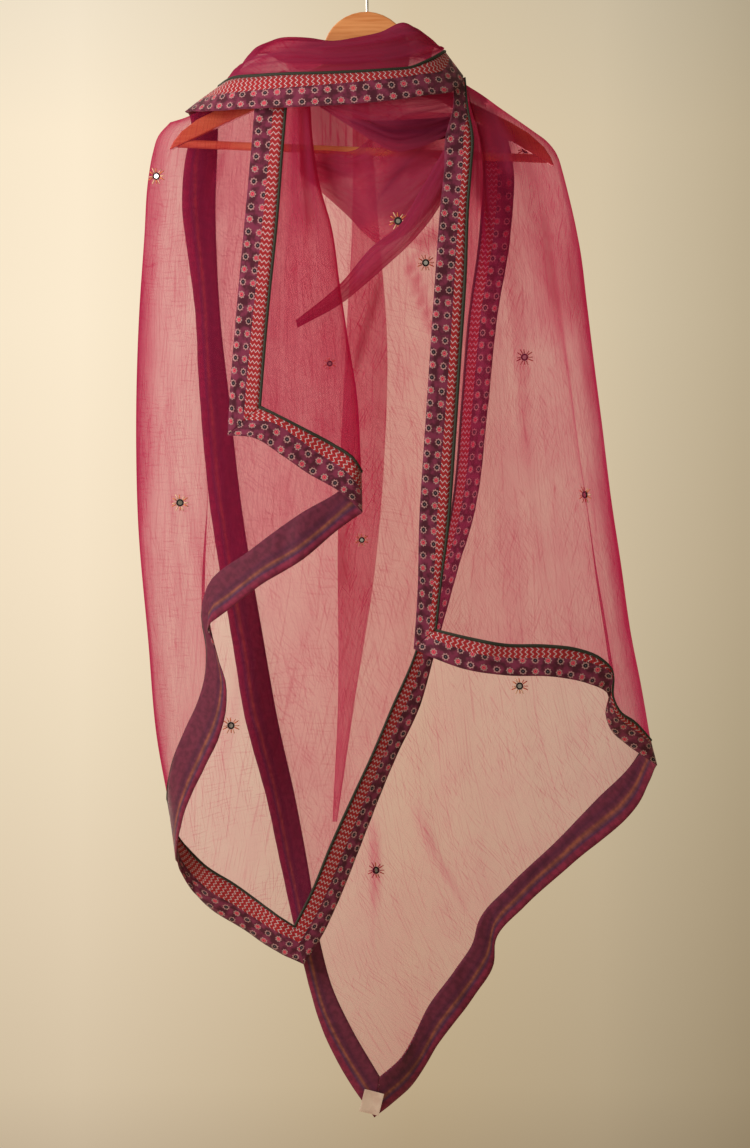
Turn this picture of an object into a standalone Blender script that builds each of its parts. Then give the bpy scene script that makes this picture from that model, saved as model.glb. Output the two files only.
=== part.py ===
"""A dupatta stole wound twice round the neck of its wooden hanger.

The cloth is built as the stretches of it that show, each a thin wall between lines that run
along its edges and folds. The tables below give those lines in centimetres from the point where
the hook hangs: across to the right, depth away from the front, and height upwards.
"""

import math
from collections import namedtuple

import bmesh
import bpy
import numpy as np

CM = 0.01
WALL = 0.12
SEAM_GAP = 0.03
PIPING_SHARE = 0.09

LABEL_WIDTH = 2.2
LABEL_HEIGHT = 2.5
LABEL_TURN = math.radians(14)
LABEL_AT = (0.5, 5.2, -126.0)

HANGER_TILT = math.radians(2.4)
HEAD_RADIUS = 4.75
HEAD_CENTRE = (-0.1, 0.0, -11.5)
BOARD_THICKNESS = 1.3
BOARD_BEVEL = 0.25
BAR_RADIUS = 0.46
BAR_HEIGHT = -10.35
BAR_UNCUT = 50.0
ARM_UNDERSIDE_START = (14.4, -7.7)
ARM_UNDERSIDE_END = (20.6, -11.0)
WIRE_RADIUS = 0.16
WIRE_BOTTOM = -6.7
SHANK_TOP = -4.6
HOOK_RADIUS = 1.9
HOOK_START_ANGLE = math.radians(-50)
HOOK_SWEEP = math.radians(240)
HOOK_STEPS = 18
WIRE_STEPS = 40

Spot = namedtuple("Spot", "across depth height")
Fold = namedtuple("Fold", "share sideways back")
Panel = namedtuple("Panel", "top bottom left right swell reach folds rows")
Band = namedtuple("Band", "outer piping panel side")
Run = namedtuple("Run", "spots shares reach")


def line(*rows):
    """Rows of across, depth and height, as spots."""
    return [Spot(*row) for row in rows]


# ---- the cloth's edges and folds: across, depth, height -------------------------------------

LEFT_EDGE = line(
    (-12.0, -4.9, -17.0),
    (-12.4, -5.4, -22.0),
    (-13.1, -5.9, -30.0),
    (-14.0, -6.2, -40.0),
    (-14.7, -6.4, -49.0),
    (-14.9, -6.4, -53.0),
)
LEFT_PIPING = line(
    (-8.5, -5.3, -17.0),
    (-8.9, -5.8, -22.0),
    (-9.5, -6.2, -30.0),
    (-10.5, -6.5, -40.0),
    (-11.3, -6.6, -49.8),
)
LEFT_FOLD = line(
    (-6.1, -4.9, -17.0),
    (-5.8, -4.9, -21.2),
    (-5.0, -5.0, -26.2),
    (-3.8, -5.1, -30.5),
    (-2.9, -5.2, -36.7),
    (-2.0, -5.3, -42.7),
    (-1.1, -5.3, -48.3),
    (-0.6, -5.3, -56.6),
)
LEFT_FRONT_TOP = line((-8.5, -5.3, -17.0), (-7.0, -5.7, -17.0), (-6.3, -5.4, -17.0), (-6.1, -4.9, -17.0))
LEFT_OUTLINE = line(
    (-21.4, 0.0, -18.7),
    (-22.7, 0.0, -20.2),
    (-23.3, 0.0, -22.1),
    (-23.8, 0.0, -25.0),
    (-24.2, 0.0, -31.0),
    (-24.8, 0.0, -40.0),
    (-25.1, 0.0, -54.0),
    (-24.9, 0.0, -62.0),
    (-23.8, 0.1, -75.0),
    (-22.8, 0.1, -86.0),
    (-21.7, 0.2, -92.1),
)
LEFT_RIDGE = line(
    (-21.4, 0.0, -18.7),
    (-19.8, 0.0, -18.2),
    (-16.0, 0.0, -16.1),
    (-12.0, 0.0, -14.3),
    (-9.0, 0.0, -13.0),
)
LEFT_NECK_FRONT = line((-9.0, 0.0, -13.0), (-7.6, -2.5, -14.6), (-6.1, -4.9, -17.0))
LEFT_NECK_BACK = line(
    (-9.0, 0.0, -13.0),
    (-6.0, 1.9, -13.4),
    (0.0, 2.4, -13.8),
    (6.0, 2.2, -14.4),
    (10.0, 2.0, -16.0),
    (11.8, 2.0, -17.4),
)
A_HEM_OUTER = line(
    (-14.9, -6.4, -53.0),
    (-12.2, -6.4, -53.2),
    (-9.1, -6.3, -55.1),
    (-6.2, -6.1, -57.1),
    (-2.9, -5.9, -59.0),
    (-0.5, -5.3, -61.2),
)
A_HEM_PIPING = line(
    (-11.3, -6.6, -49.8),
    (-6.8, -6.5, -52.1),
    (-3.6, -6.2, -53.8),
    (-1.3, -5.9, -55.4),
    (-0.6, -5.3, -56.6),
)
A_RETURN_OUTER = line(
    (-20.8, 0.3, -98.9),
    (-20.3, -0.4, -95.8),
    (-19.3, -0.9, -92.5),
    (-17.4, -1.6, -88.5),
    (-15.9, -2.1, -85.4),
    (-15.1, -2.4, -79.7),
    (-16.2, -2.6, -76.2),
    (-17.1, -2.8, -73.5),
    (-15.3, -3.2, -72.0),
    (-11.7, -3.8, -69.2),
    (-6.8, -4.2, -66.2),
    (-2.9, -4.6, -62.9),
    (-0.5, -5.3, -61.2),
)
A_RETURN_PIPING = line(
    (-21.7, 0.2, -92.1),
    (-21.5, -0.5, -90.2),
    (-21.0, -0.9, -88.0),
    (-19.6, -1.5, -84.5),
    (-18.2, -2.0, -81.5),
    (-17.4, -2.3, -78.4),
    (-17.3, -2.5, -75.4),
    (-17.8, -2.8, -72.0),
    (-17.1, -3.1, -69.0),
    (-12.6, -3.9, -65.3),
    (-6.8, -4.3, -61.1),
    (-2.9, -4.7, -58.8),
    (-0.6, -5.3, -56.6),
)
C_HEM_OUTER = line(
    (-20.8, 0.3, -98.9),
    (-19.3, 0.7, -101.4),
    (-16.8, 1.1, -104.2),
    (-14.3, 1.5, -106.2),
    (-10.7, 1.9, -108.7),
    (-6.9, 2.2, -110.5),
)
C_HEM_PIPING = line(
    (-21.7, 0.2, -92.1),
    (-21.0, 0.7, -95.6),
    (-18.2, 1.1, -99.2),
    (-14.3, 1.5, -101.8),
    (-10.7, 1.9, -104.4),
    (-8.0, 2.2, -106.2),
)
C_EDGE_OUTER = line(
    (15.0, 1.6, -18.9),
    (15.9, 0.8, -23.0),
    (15.7, 0.8, -30.2),
    (14.1, 0.9, -40.4),
    (13.2, 1.0, -49.3),
    (11.5, 1.1, -62.0),
    (10.1, 1.2, -66.6),
    (8.9, 1.2, -71.1),
    (7.3, 1.3, -77.0),
    (5.8, 1.4, -82.3),
    (3.0, 1.6, -88.3),
    (0.3, 1.8, -95.0),
    (-2.9, 2.0, -103.1),
    (-4.7, 2.1, -107.0),
    (-6.9, 2.2, -110.5),
)
C_EDGE_PIPING = line(
    (11.8, 2.0, -17.4),
    (12.6, 2.2, -23.0),
    (12.3, 2.4, -30.2),
    (11.0, 2.6, -40.4),
    (10.3, 2.8, -49.3),
    (9.0, 2.9, -62.0),
    (7.9, 2.9, -66.6),
    (6.6, 2.9, -71.1),
    (5.3, 2.8, -76.2),
    (2.6, 2.7, -82.5),
    (0.5, 2.6, -87.5),
    (-1.6, 2.5, -92.0),
    (-4.1, 2.4, -97.5),
    (-6.1, 2.3, -102.4),
    (-8.0, 2.2, -106.2),
)
RIGHT_EDGE = line(
    (9.2, -4.2, -15.6),
    (9.2, -4.8, -18.0),
    (8.4, -5.3, -21.0),
    (8.3, -5.5, -24.1),
    (7.9, -5.8, -28.0),
    (7.3, -6.1, -36.0),
    (6.7, -6.3, -45.0),
    (6.1, -6.5, -54.0),
    (5.6, -6.6, -62.0),
    (5.4, -6.7, -70.0),
    (5.0, -6.8, -75.8),
)
RIGHT_PIPING = line(
    (10.5, -2.2, -15.4),
    (10.9, -3.6, -17.4),
    (11.5, -4.8, -21.0),
    (11.3, -5.3, -24.1),
    (11.0, -5.6, -28.0),
    (10.7, -5.9, -36.0),
    (10.1, -6.2, -45.0),
    (9.5, -6.4, -54.0),
    (8.9, -6.6, -62.0),
    (7.9, -6.7, -70.0),
    (7.5, -6.8, -73.7),
)
RIGHT_OUTLINE = line(
    (21.1, 0.0, -23.9),
    (22.0, 0.0, -27.2),
    (23.2, 0.0, -32.7),
    (23.9, 0.0, -38.3),
    (24.7, 0.0, -44.9),
    (25.5, 0.0, -51.1),
    (26.6, 0.0, -60.0),
    (27.6, 0.0, -66.6),
    (28.7, 0.0, -74.3),
    (29.8, 0.0, -79.9),
    (30.8, 0.0, -85.7),
)
RIGHT_RIDGE = line(
    (10.7, 1.2, -14.4),
    (12.6, 0.5, -15.7),
    (14.3, 0.1, -17.0),
    (16.0, 0.0, -18.2),
    (18.0, 0.0, -19.6),
    (19.7, 0.0, -20.9),
    (20.6, 0.0, -22.1),
    (21.1, 0.0, -23.9),
)
RIGHT_NECK_FRONT = line((10.5, -2.2, -15.4), (10.6, -0.8, -14.9), (10.7, 1.2, -14.4))
NECK_BACK_LINE = line(
    (-15.9, 0.2, -14.6),
    (-13.4, 1.0, -12.6),
    (-11.0, 2.2, -11.2),
    (-7.0, 4.2, -10.8),
    (-2.0, 5.2, -10.7),
    (3.0, 5.2, -10.6),
    (7.0, 4.2, -11.2),
    (9.4, 2.8, -12.6),
    (10.7, 1.2, -14.4),
)
B_HEM_OUTER = line(
    (5.0, -6.8, -75.8),
    (7.2, -6.9, -76.8),
    (10.3, -6.8, -77.9),
    (14.7, -6.4, -78.6),
    (20.2, -5.6, -78.8),
    (23.6, -5.0, -79.5),
    (25.8, -4.4, -80.6),
    (25.7, -3.6, -83.0),
    (26.6, -2.9, -85.0),
    (27.8, -2.1, -86.0),
    (31.5, 0.0, -88.6),
)
B_HEM_PIPING = line(
    (7.5, -6.8, -73.7),
    (11.4, -6.8, -74.6),
    (14.7, -6.5, -75.2),
    (19.1, -5.9, -75.3),
    (22.5, -5.4, -75.7),
    (24.9, -4.9, -76.6),
    (26.3, -4.4, -77.9),
    (26.5, -3.4, -81.0),
    (27.4, -2.6, -82.6),
    (28.9, -1.6, -83.6),
    (30.8, 0.0, -85.7),
)
D_HEM_OUTER = line(
    (0.8, 5.6, -127.7),
    (2.0, 5.6, -126.8),
    (4.9, 5.7, -124.5),
    (8.0, 5.7, -119.8),
    (12.2, 5.8, -114.2),
    (14.0, 5.7, -111.3),
    (14.3, 5.4, -108.3),
    (17.4, 4.6, -104.6),
    (22.4, 3.4, -100.0),
    (30.2, 1.2, -92.3),
    (31.5, 0.0, -88.6),
)
D_HEM_PIPING = line(
    (1.4, 5.5, -123.2),
    (3.6, 5.5, -121.4),
    (7.0, 5.5, -115.4),
    (9.8, 5.5, -111.6),
    (11.7, 5.4, -108.7),
    (12.3, 5.2, -106.4),
    (15.7, 4.6, -102.3),
    (20.9, 3.6, -97.3),
    (25.5, 2.6, -92.4),
    (28.8, 1.5, -89.0),
    (30.8, 0.0, -85.7),
)
D_EDGE_OUTER = line(
    (-19.8, 0.2, -17.5),
    (-20.0, 1.6, -17.7),
    (-20.3, 2.8, -19.2),
    (-20.5, 3.2, -21.7),
    (-20.3, 3.8, -27.4),
    (-19.8, 4.4, -32.0),
    (-19.0, 5.0, -38.0),
    (-18.5, 5.4, -47.2),
    (-17.3, 5.7, -60.4),
    (-14.9, 6.0, -75.0),
    (-13.4, 6.1, -84.0),
    (-11.1, 6.1, -92.5),
    (-9.5, 6.0, -100.0),
    (-7.1, 5.9, -110.5),
    (-4.7, 5.8, -118.6),
    (-2.1, 5.7, -123.6),
    (0.8, 5.6, -127.7),
)
D_EDGE_PIPING = line(
    (-15.9, 0.2, -14.6),
    (-16.2, 1.5, -14.9),
    (-16.8, 2.7, -16.8),
    (-17.3, 3.0, -21.7),
    (-17.6, 3.2, -27.4),
    (-17.5, 3.5, -33.0),
    (-16.9, 3.8, -40.0),
    (-15.8, 4.0, -48.0),
    (-13.8, 4.2, -60.4),
    (-11.4, 4.5, -75.0),
    (-9.8, 4.6, -84.0),
    (-7.9, 4.8, -92.5),
    (-6.5, 5.0, -100.0),
    (-5.1, 5.2, -108.7),
    (-3.8, 5.3, -113.4),
    (-1.8, 5.4, -117.7),
    (1.4, 5.5, -123.2),
)
COLLAR_EDGE = line(
    (-19.8, 0.2, -17.5),
    (-16.5, -3.6, -17.9),
    (-12.3, -6.2, -18.0),
    (-8.8, -7.3, -18.0),
    (-4.8, -7.8, -17.9),
    (-0.3, -7.9, -17.6),
    (3.9, -7.4, -17.1),
    (6.4, -6.6, -16.6),
    (9.3, -4.8, -15.9),
    (10.4, -2.2, -14.0),
    (9.9, 0.3, -13.4),
)
COLLAR_PIPING = line(
    (-15.9, 0.2, -14.6),
    (-14.4, -2.8, -14.1),
    (-11.5, -5.0, -14.1),
    (-8.2, -6.4, -14.1),
    (-4.8, -7.0, -14.1),
    (-1.8, -7.1, -14.0),
    (2.3, -6.7, -13.7),
    (4.6, -6.0, -13.4),
    (6.5, -5.0, -12.5),
    (8.2, -2.2, -11.2),
    (8.4, 0.2, -10.9),
)
COLLAR_BELLY = line(
    (-14.2, 0.1, -13.3),
    (-13.0, -2.8, -12.2),
    (-9.5, -5.2, -11.6),
    (-5.0, -6.2, -11.6),
    (-1.0, -6.3, -11.4),
    (3.0, -5.6, -10.7),
    (5.5, -4.4, -10.0),
    (7.0, -2.6, -10.4),
    (8.0, 0.0, -10.6),
)
COLLAR_RIDGE = line(
    (-12.6, 0.1, -11.7),
    (-11.1, -1.8, -10.5),
    (-9.6, -2.8, -10.0),
    (-6.1, -3.6, -10.1),
    (-3.8, -3.7, -10.4),
    (-1.1, -3.6, -10.0),
    (1.4, -3.2, -9.4),
    (4.0, -2.5, -8.3),
    (5.6, -1.8, -9.1),
    (6.8, -1.2, -10.0),
    (7.4, -0.2, -10.6),
)
COLLAR_INSIDE = line(
    (-10.9, 0.1, -11.0),
    (-9.4, -1.1, -12.2),
    (-5.0, -1.7, -12.6),
    (-1.0, -1.8, -12.6),
    (3.0, -1.7, -12.0),
    (5.6, -1.1, -11.8),
    (6.8, -0.2, -12.0),
)
NECK_BACK_OUTSIDE = line(
    (-8.4, 1.6, -13.0), (-5.0, 3.4, -13.0), (0.0, 4.1, -13.0), (4.4, 3.6, -13.2), (7.6, 2.0, -13.6)
)
NECK_BACK_RIDGE = line(
    (-9.0, 1.2, -11.6), (-5.4, 2.8, -10.9), (0.0, 3.4, -10.8), (4.6, 2.9, -10.6), (8.0, 1.5, -11.6)
)
NECK_BACK_INSIDE = line(
    (-7.6, 1.1, -12.8), (-4.8, 1.9, -12.6), (0.0, 2.3, -12.6), (4.0, 2.0, -12.8), (6.8, 1.2, -13.2)
)
NECK_INNER_TOP = line((-6.2, -5.9, -16.2), (0.0, -6.6, -15.8), (5.0, -5.8, -15.4), (8.2, -4.0, -15.0))
NECK_INNER_EDGE = line(
    (-5.4, -6.4, -17.6),
    (-2.3, -6.3, -19.6),
    (0.2, -6.3, -21.2),
    (3.0, -6.1, -22.6),
    (5.6, -5.6, -22.1),
    (7.6, -4.8, -21.0),
)
NECK_GATHER_TOP = line((-2.0, -5.2, -19.0), (2.0, -5.4, -19.2), (5.0, -5.0, -19.0), (7.8, -3.9, -18.6))
NECK_GATHER_EDGE = line((-1.0, -5.2, -20.2), (2.1, -5.5, -21.4), (5.0, -5.1, -21.6), (7.6, -4.0, -21.0))
SWAG_TOP = line((-4.9, -3.4, -18.6), (-1.0, -4.2, -18.4), (3.0, -4.2, -18.4), (7.8, -3.2, -18.2))
SWAG_EDGE = line(
    (-4.2, -3.2, -26.8),
    (-1.6, -3.8, -29.6),
    (1.5, -4.1, -31.8),
    (4.0, -4.1, -31.4),
    (6.5, -3.9, -29.0),
    (7.8, -3.6, -27.0),
)
SWAG_FOLD_UPPER = line(
    (-7.7, -2.4, -40.4),
    (-2.9, -3.1, -36.5),
    (0.7, -5.0, -32.5),
    (3.4, -5.2, -30.4),
    (5.5, -5.0, -27.0),
    (7.9, -4.4, -22.8),
)
SWAG_FOLD_LOWER = line(
    (-7.5, -2.4, -41.2),
    (-2.7, -3.3, -38.6),
    (0.0, -4.3, -36.5),
    (2.2, -4.9, -34.6),
    (4.2, -5.1, -32.8),
    (6.6, -4.9, -30.1),
    (7.6, -4.4, -28.6),
)

BACK_PLEAT_LEFT = line(
    (-1.6, 3.6, -16.0),
    (-1.6, 4.0, -28.0),
    (-2.3, 4.0, -42.0),
    (-3.2, 4.0, -63.0),
    (-3.2, 3.9, -82.0),
    (-3.8, 3.8, -95.0),
)
BACK_PLEAT_RIGHT = line(
    (0.2, 3.6, -16.0),
    (1.3, 4.0, -30.0),
    (2.2, 4.0, -42.0),
    (1.9, 4.0, -55.0),
    (0.9, 4.0, -67.0),
    (-1.4, 3.9, -82.0),
    (-3.3, 3.8, -95.0),
)

# The board of the hanger, from the end of its round head to the tip and back under the arm.
ARM_OUTLINE = (
    (8.0, -2.9),
    (12.0, -4.8),
    (16.0, -6.6),
    (18.0, -7.7),
    (19.7, -9.1),
    (20.5, -10.2),
    (20.9, -11.1),
    ARM_UNDERSIDE_END,
    ARM_UNDERSIDE_START,
    (8.0, -4.5),
    (5.0, -4.1),
)
HEAD_END_ANGLE = math.radians(-14)
HEAD_STEPS = 20
BOARD_CUTS = (-18.0, -15.0, -12.0, -8.0, -5.0, -2.5, 0.0, 2.5, 5.0, 8.0, 12.0, 15.0, 18.0)

SIDE_ROWS = (0.0, 0.004, 0.02, 0.06, 0.12, 0.2, 0.3, 0.4, 0.5, 0.6, 0.7, 0.8, 0.9, 1.0)
RIDGE_SHARES = (0.0, 0.2, 0.4, 0.6, 0.8, 0.93, 0.99, 1.0)
COLLAR_SHARES = tuple(i / 15 for i in range(16))
GATHER_SHARES = tuple(i / 6 for i in range(7))
SWELL_CHANGE = 4
END_HOLD = 4
FOLD_FADING = 0.5
ROLL_SHAPE = 0.7


def along(spots, shares):
    """Points at these shares of the length of a smooth line through the spots."""
    points = np.array(spots, dtype=float)
    steps = np.linalg.norm(np.diff(points, axis=0), axis=1)
    knots = np.concatenate(([0.0], np.cumsum(steps)))
    slopes = np.gradient(points, knots, axis=0)
    at = np.array(shares) * knots[-1]
    span = np.clip(np.searchsorted(knots, at, side="right") - 1, 0, len(steps) - 1)
    width = steps[span][:, None]
    t = (at - knots[span])[:, None] / width
    start, end = points[span], points[span + 1]
    ease = t * t * (3 - 2 * t)
    leave = t * (1 - t) ** 2 * width * slopes[span]
    arrive = t * t * (t - 1) * width * slopes[span + 1]
    return start + (end - start) * ease + leave + arrive


def spread(top, bottom, left, right, columns, rows):
    """A grid of points between four edges, row by row from the top.

    The depth follows the two sides, and gives way to the top and bottom only close to them.
    """
    u = np.array(columns)[None, :, None]
    v = np.array(rows)[:, None, None]
    ruled = (1 - u) * left[:, None] + u * right[:, None]
    to_top = top[None] - ruled[:1]
    to_bottom = bottom[None] - ruled[-1:]
    grid = ruled + (1 - v) * to_top + v * to_bottom
    close_to_top = (1 - v[:, :, 0]) ** END_HOLD
    close_to_bottom = v[:, :, 0] ** END_HOLD
    depth_change = close_to_top * to_top[:, :, 1] + close_to_bottom * to_bottom[:, :, 1]
    grid[:, :, 1] = ruled[:, :, 1] + depth_change
    return grid


def rounding(grid, columns, rows, reach, top_reach):
    """The share of its swell that each point has, 0 on a fold and 1 beyond its reach.

    A reach gives how far in from the left side, the right side or a column's top the cloth goes on
    rounding. A negative one is a seam, from which the cloth rises gently over that distance.
    """
    widths = np.linalg.norm(grid[:, -1] - grid[:, 0], axis=1)
    heights = np.linalg.norm(grid[-1] - grid[0], axis=1)
    distances = (
        np.outer(widths, columns),
        np.outer(widths, 1 - np.array(columns)),
        np.outer(rows, heights),
    )
    share = np.ones_like(grid[:, :, 0])
    lift = np.ones_like(share)
    for distance, far in zip(distances, (reach[0], reach[1], np.array(top_reach))):
        near = np.minimum(1, distance / np.abs(far))
        share = np.minimum(share, np.where(far > 0, near, 1))
        lift *= np.where(far > 0, 1, np.sin(math.pi / 2 * near))
    return lift * np.sqrt(1 - (1 - share) ** 2)


def panel_grid(panel):
    """The middle surface of one stretch of cloth."""
    columns = shares_of(panel.folds)
    left = along(panel.left, panel.rows)
    right = along(panel.right, panel.rows)
    top = np.concatenate([along(run.spots, run.shares) for run in panel.top])
    top_reach = [run.reach for run in panel.top for _ in run.shares]
    bottom = along(panel.bottom, columns)
    grid = spread(top, bottom, left, right, columns, panel.rows)
    come_round = rounding(grid, columns, panel.rows, panel.reach, top_reach)
    at_left, at_right = panel.swell
    swell = at_left + (at_right - at_left) * np.array(columns) ** SWELL_CHANGE
    grid[:, :, 1] += swell[None] * come_round
    fading = np.sin(math.pi * np.array(panel.rows)) ** FOLD_FADING
    grid[:, :, 0] += np.outer(fading, [fold.sideways for fold in panel.folds])
    grid[:, :, 1] += np.outer(fading, [fold.back for fold in panel.folds])
    return grid


def evenly(first, last, count):
    """Shares from first to last, both included."""
    return tuple(first + (last - first) * i / (count - 1) for i in range(count))


def folds(*rows):
    """Rows of share, sideways and back, as folds."""
    return [Fold(*row) for row in rows]


# Each panel's columns: share of its width, and how far that line of the cloth lies sideways and back.
LEFT_FRONT_FOLDS = folds(
    (0.0, 0.0, 0.0), (0.2, 0.0, 0.3), (0.4, 0.0, -0.2), (0.6, 0.0, 0.2), (0.8, 0.0, 0.0),
    (0.93, 0.0, 0.0), (0.985, 0.0, 0.0), (1.0, 0.0, 0.0),
)
LEFT_RETURN_FOLDS = folds(
    (0.0, 0.0, 0.0), (0.005, 0.0, 0.0), (0.04, 0.0, 0.0), (0.12, 0.0, 0.2), (0.22, 0.0, -0.2),
    (0.32, 0.0, 0.2), (0.44, 0.0, 0.3), (0.56, 0.0, 0.0), (0.68, 0.0, 0.3), (0.8, 0.0, 0.0),
    (0.9, 0.0, 0.2), (0.96, 0.0, 0.0), (0.993, 0.0, 0.0), (1.0, 0.0, 0.0),
)
LEFT_BACK_FOLDS = folds(
    (0.0, 0.0, 0.0), (0.004, 0.0, 0.0), (0.03, 0.0, 0.0), (0.08, 0.0, 0.0), (0.16, 0.0, 0.3),
    (0.24, 0.0, -0.2), (0.33, 0.0, 0.2), (0.42, 0.0, 0.0), (0.52, 0.0, 0.3), (0.62, 0.0, 0.0),
    (0.72, 0.0, 0.2), (0.82, 0.0, 0.0), (0.91, 0.0, 0.0), (1.0, 0.0, 0.0),
)
RIGHT_FRONT_FOLDS = folds(
    (0.0, 0.0, 0.0), (0.04, 0.0, 0.2), (0.09, 0.0, 0.0), (0.15, 0.0, -0.2), (0.24, 0.0, 0.4),
    (0.34, 0.0, -0.3), (0.46, 0.0, 0.3), (0.6, 0.0, -0.2), (0.74, 0.0, 0.3), (0.88, 0.0, 0.0),
    (0.96, 0.0, 0.0), (0.993, 0.0, 0.0), (1.0, 0.0, 0.0),
)
RIGHT_BACK_FOLDS = folds(
    (0.0, 0.0, 0.0), (0.07, 0.0, 0.3), (0.15, 0.0, -0.2), (0.23, 0.0, 0.3), (0.31, 0.0, 0.4),
    (0.39, 0.0, -0.2), (0.46, 0.0, 0.5), (0.53, 0.0, 0.0), (0.6, 0.0, 0.4), (0.67, 0.0, 0.0),
    (0.75, 0.0, 0.3), (0.83, 0.0, 0.0), (0.91, 0.0, 0.2), (0.965, 0.0, 0.0), (0.993, 0.0, 0.0),
    (1.0, 0.0, 0.0),
)

def shares_of(columns):
    """The shares of a list of folds."""
    return [fold.share for fold in columns]


PANELS = {
    "left_front": Panel(
        top=[Run(LEFT_FRONT_TOP, shares_of(LEFT_FRONT_FOLDS), -5.0)],
        bottom=A_HEM_PIPING, left=LEFT_PIPING, right=LEFT_FOLD,
        swell=(-0.3, -0.7), reach=(-3.0, 1.2), folds=LEFT_FRONT_FOLDS, rows=SIDE_ROWS,
    ),
    "left_return": Panel(
        top=[
            Run(LEFT_RIDGE, (0.0, 0.01, 0.07, 0.2, 0.4, 0.6, 0.8, 1.0), 4.0),
            Run(LEFT_NECK_FRONT, (0.15, 0.35, 0.55, 0.8, 0.97, 1.0), -10.0),
        ],
        bottom=A_RETURN_PIPING, left=LEFT_OUTLINE, right=LEFT_FOLD,
        swell=(-1.7, 0.8), reach=(5.0, 1.2), folds=LEFT_RETURN_FOLDS, rows=SIDE_ROWS,
    ),
    "left_back": Panel(
        top=[
            Run(LEFT_RIDGE, (0.0, 0.01, 0.07, 0.2, 0.4, 0.6, 0.8, 1.0), 3.0),
            Run(LEFT_NECK_BACK, evenly(0.15, 1.0, 6), -15.0),
        ],
        bottom=C_HEM_PIPING, left=LEFT_OUTLINE, right=C_EDGE_PIPING,
        swell=(1.5, 0.4), reach=(5.0, -8.0), folds=LEFT_BACK_FOLDS, rows=SIDE_ROWS,
    ),
    "right_front": Panel(
        top=[
            Run(RIGHT_NECK_FRONT, (0.0, 0.25, 0.5, 0.75, 0.9), -6.0),
            Run(RIGHT_RIDGE, RIDGE_SHARES, 5.0),
        ],
        bottom=B_HEM_PIPING, left=RIGHT_PIPING, right=RIGHT_OUTLINE,
        swell=(-1.6, -1.8), reach=(-8.0, 6.0), folds=RIGHT_FRONT_FOLDS, rows=SIDE_ROWS,
    ),
    "right_back": Panel(
        top=[
            Run(NECK_BACK_LINE, evenly(0.0, 0.94, 8), -20.0),
            Run(RIGHT_RIDGE, RIDGE_SHARES, 4.0),
        ],
        bottom=D_HEM_PIPING, left=D_EDGE_PIPING, right=RIGHT_OUTLINE,
        swell=(2.6, 2.8), reach=(-10.0, 6.0), folds=RIGHT_BACK_FOLDS, rows=SIDE_ROWS,
    ),
}

# The border along each side of a panel that is an edge of the cloth.
BANDS = {
    "left_strip": Band(LEFT_EDGE, LEFT_PIPING, "left_front", "left"),
    "a_hem": Band(A_HEM_OUTER, A_HEM_PIPING, "left_front", "bottom"),
    "a_return": Band(A_RETURN_OUTER, A_RETURN_PIPING, "left_return", "bottom"),
    "c_hem": Band(C_HEM_OUTER, C_HEM_PIPING, "left_back", "bottom"),
    "c_edge": Band(C_EDGE_OUTER, C_EDGE_PIPING, "left_back", "right"),
    "right_strip": Band(RIGHT_EDGE, RIGHT_PIPING, "right_front", "left"),
    "b_hem": Band(B_HEM_OUTER, B_HEM_PIPING, "right_front", "bottom"),
    "d_hem": Band(D_HEM_OUTER, D_HEM_PIPING, "right_back", "bottom"),
    "d_edge": Band(D_EDGE_OUTER, D_EDGE_PIPING, "right_back", "left"),
}
SIDES = {"left": np.s_[:, 0], "right": np.s_[:, -1], "bottom": np.s_[-1]}


def loft(rails, shares):
    """A grid with one row for each rail."""
    return np.array([along(rail, shares) for rail in rails])


def refine(grid, times):
    """The same grid with smooth rows added between its rows."""
    shares = evenly(0.0, 1.0, times * (len(grid) - 1) + 1)
    lines = [along(grid[:, j], shares) for j in range(grid.shape[1])]
    return np.stack(lines, axis=1)


def bulged(upper, lower, shares, rise):
    """A rolled fold between two lines, standing out to the front by rise."""
    grid = refine(loft((upper, lower), shares), 5)
    round_over = np.sin(math.pi * np.linspace(0, 1, len(grid))) ** ROLL_SHAPE
    grid[:, :, 1] -= rise * round_over[:, None]
    return grid


def band_grids(name, outer, inner):
    """A border between two lines, and the piping along its inner side."""
    seam = inner + (outer - inner) * PIPING_SHARE
    return {
        f"border_{name}": (np.array([outer, seam]), "border print"),
        f"piping_{name}": (np.array([seam, inner]), "piping"),
    }


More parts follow.
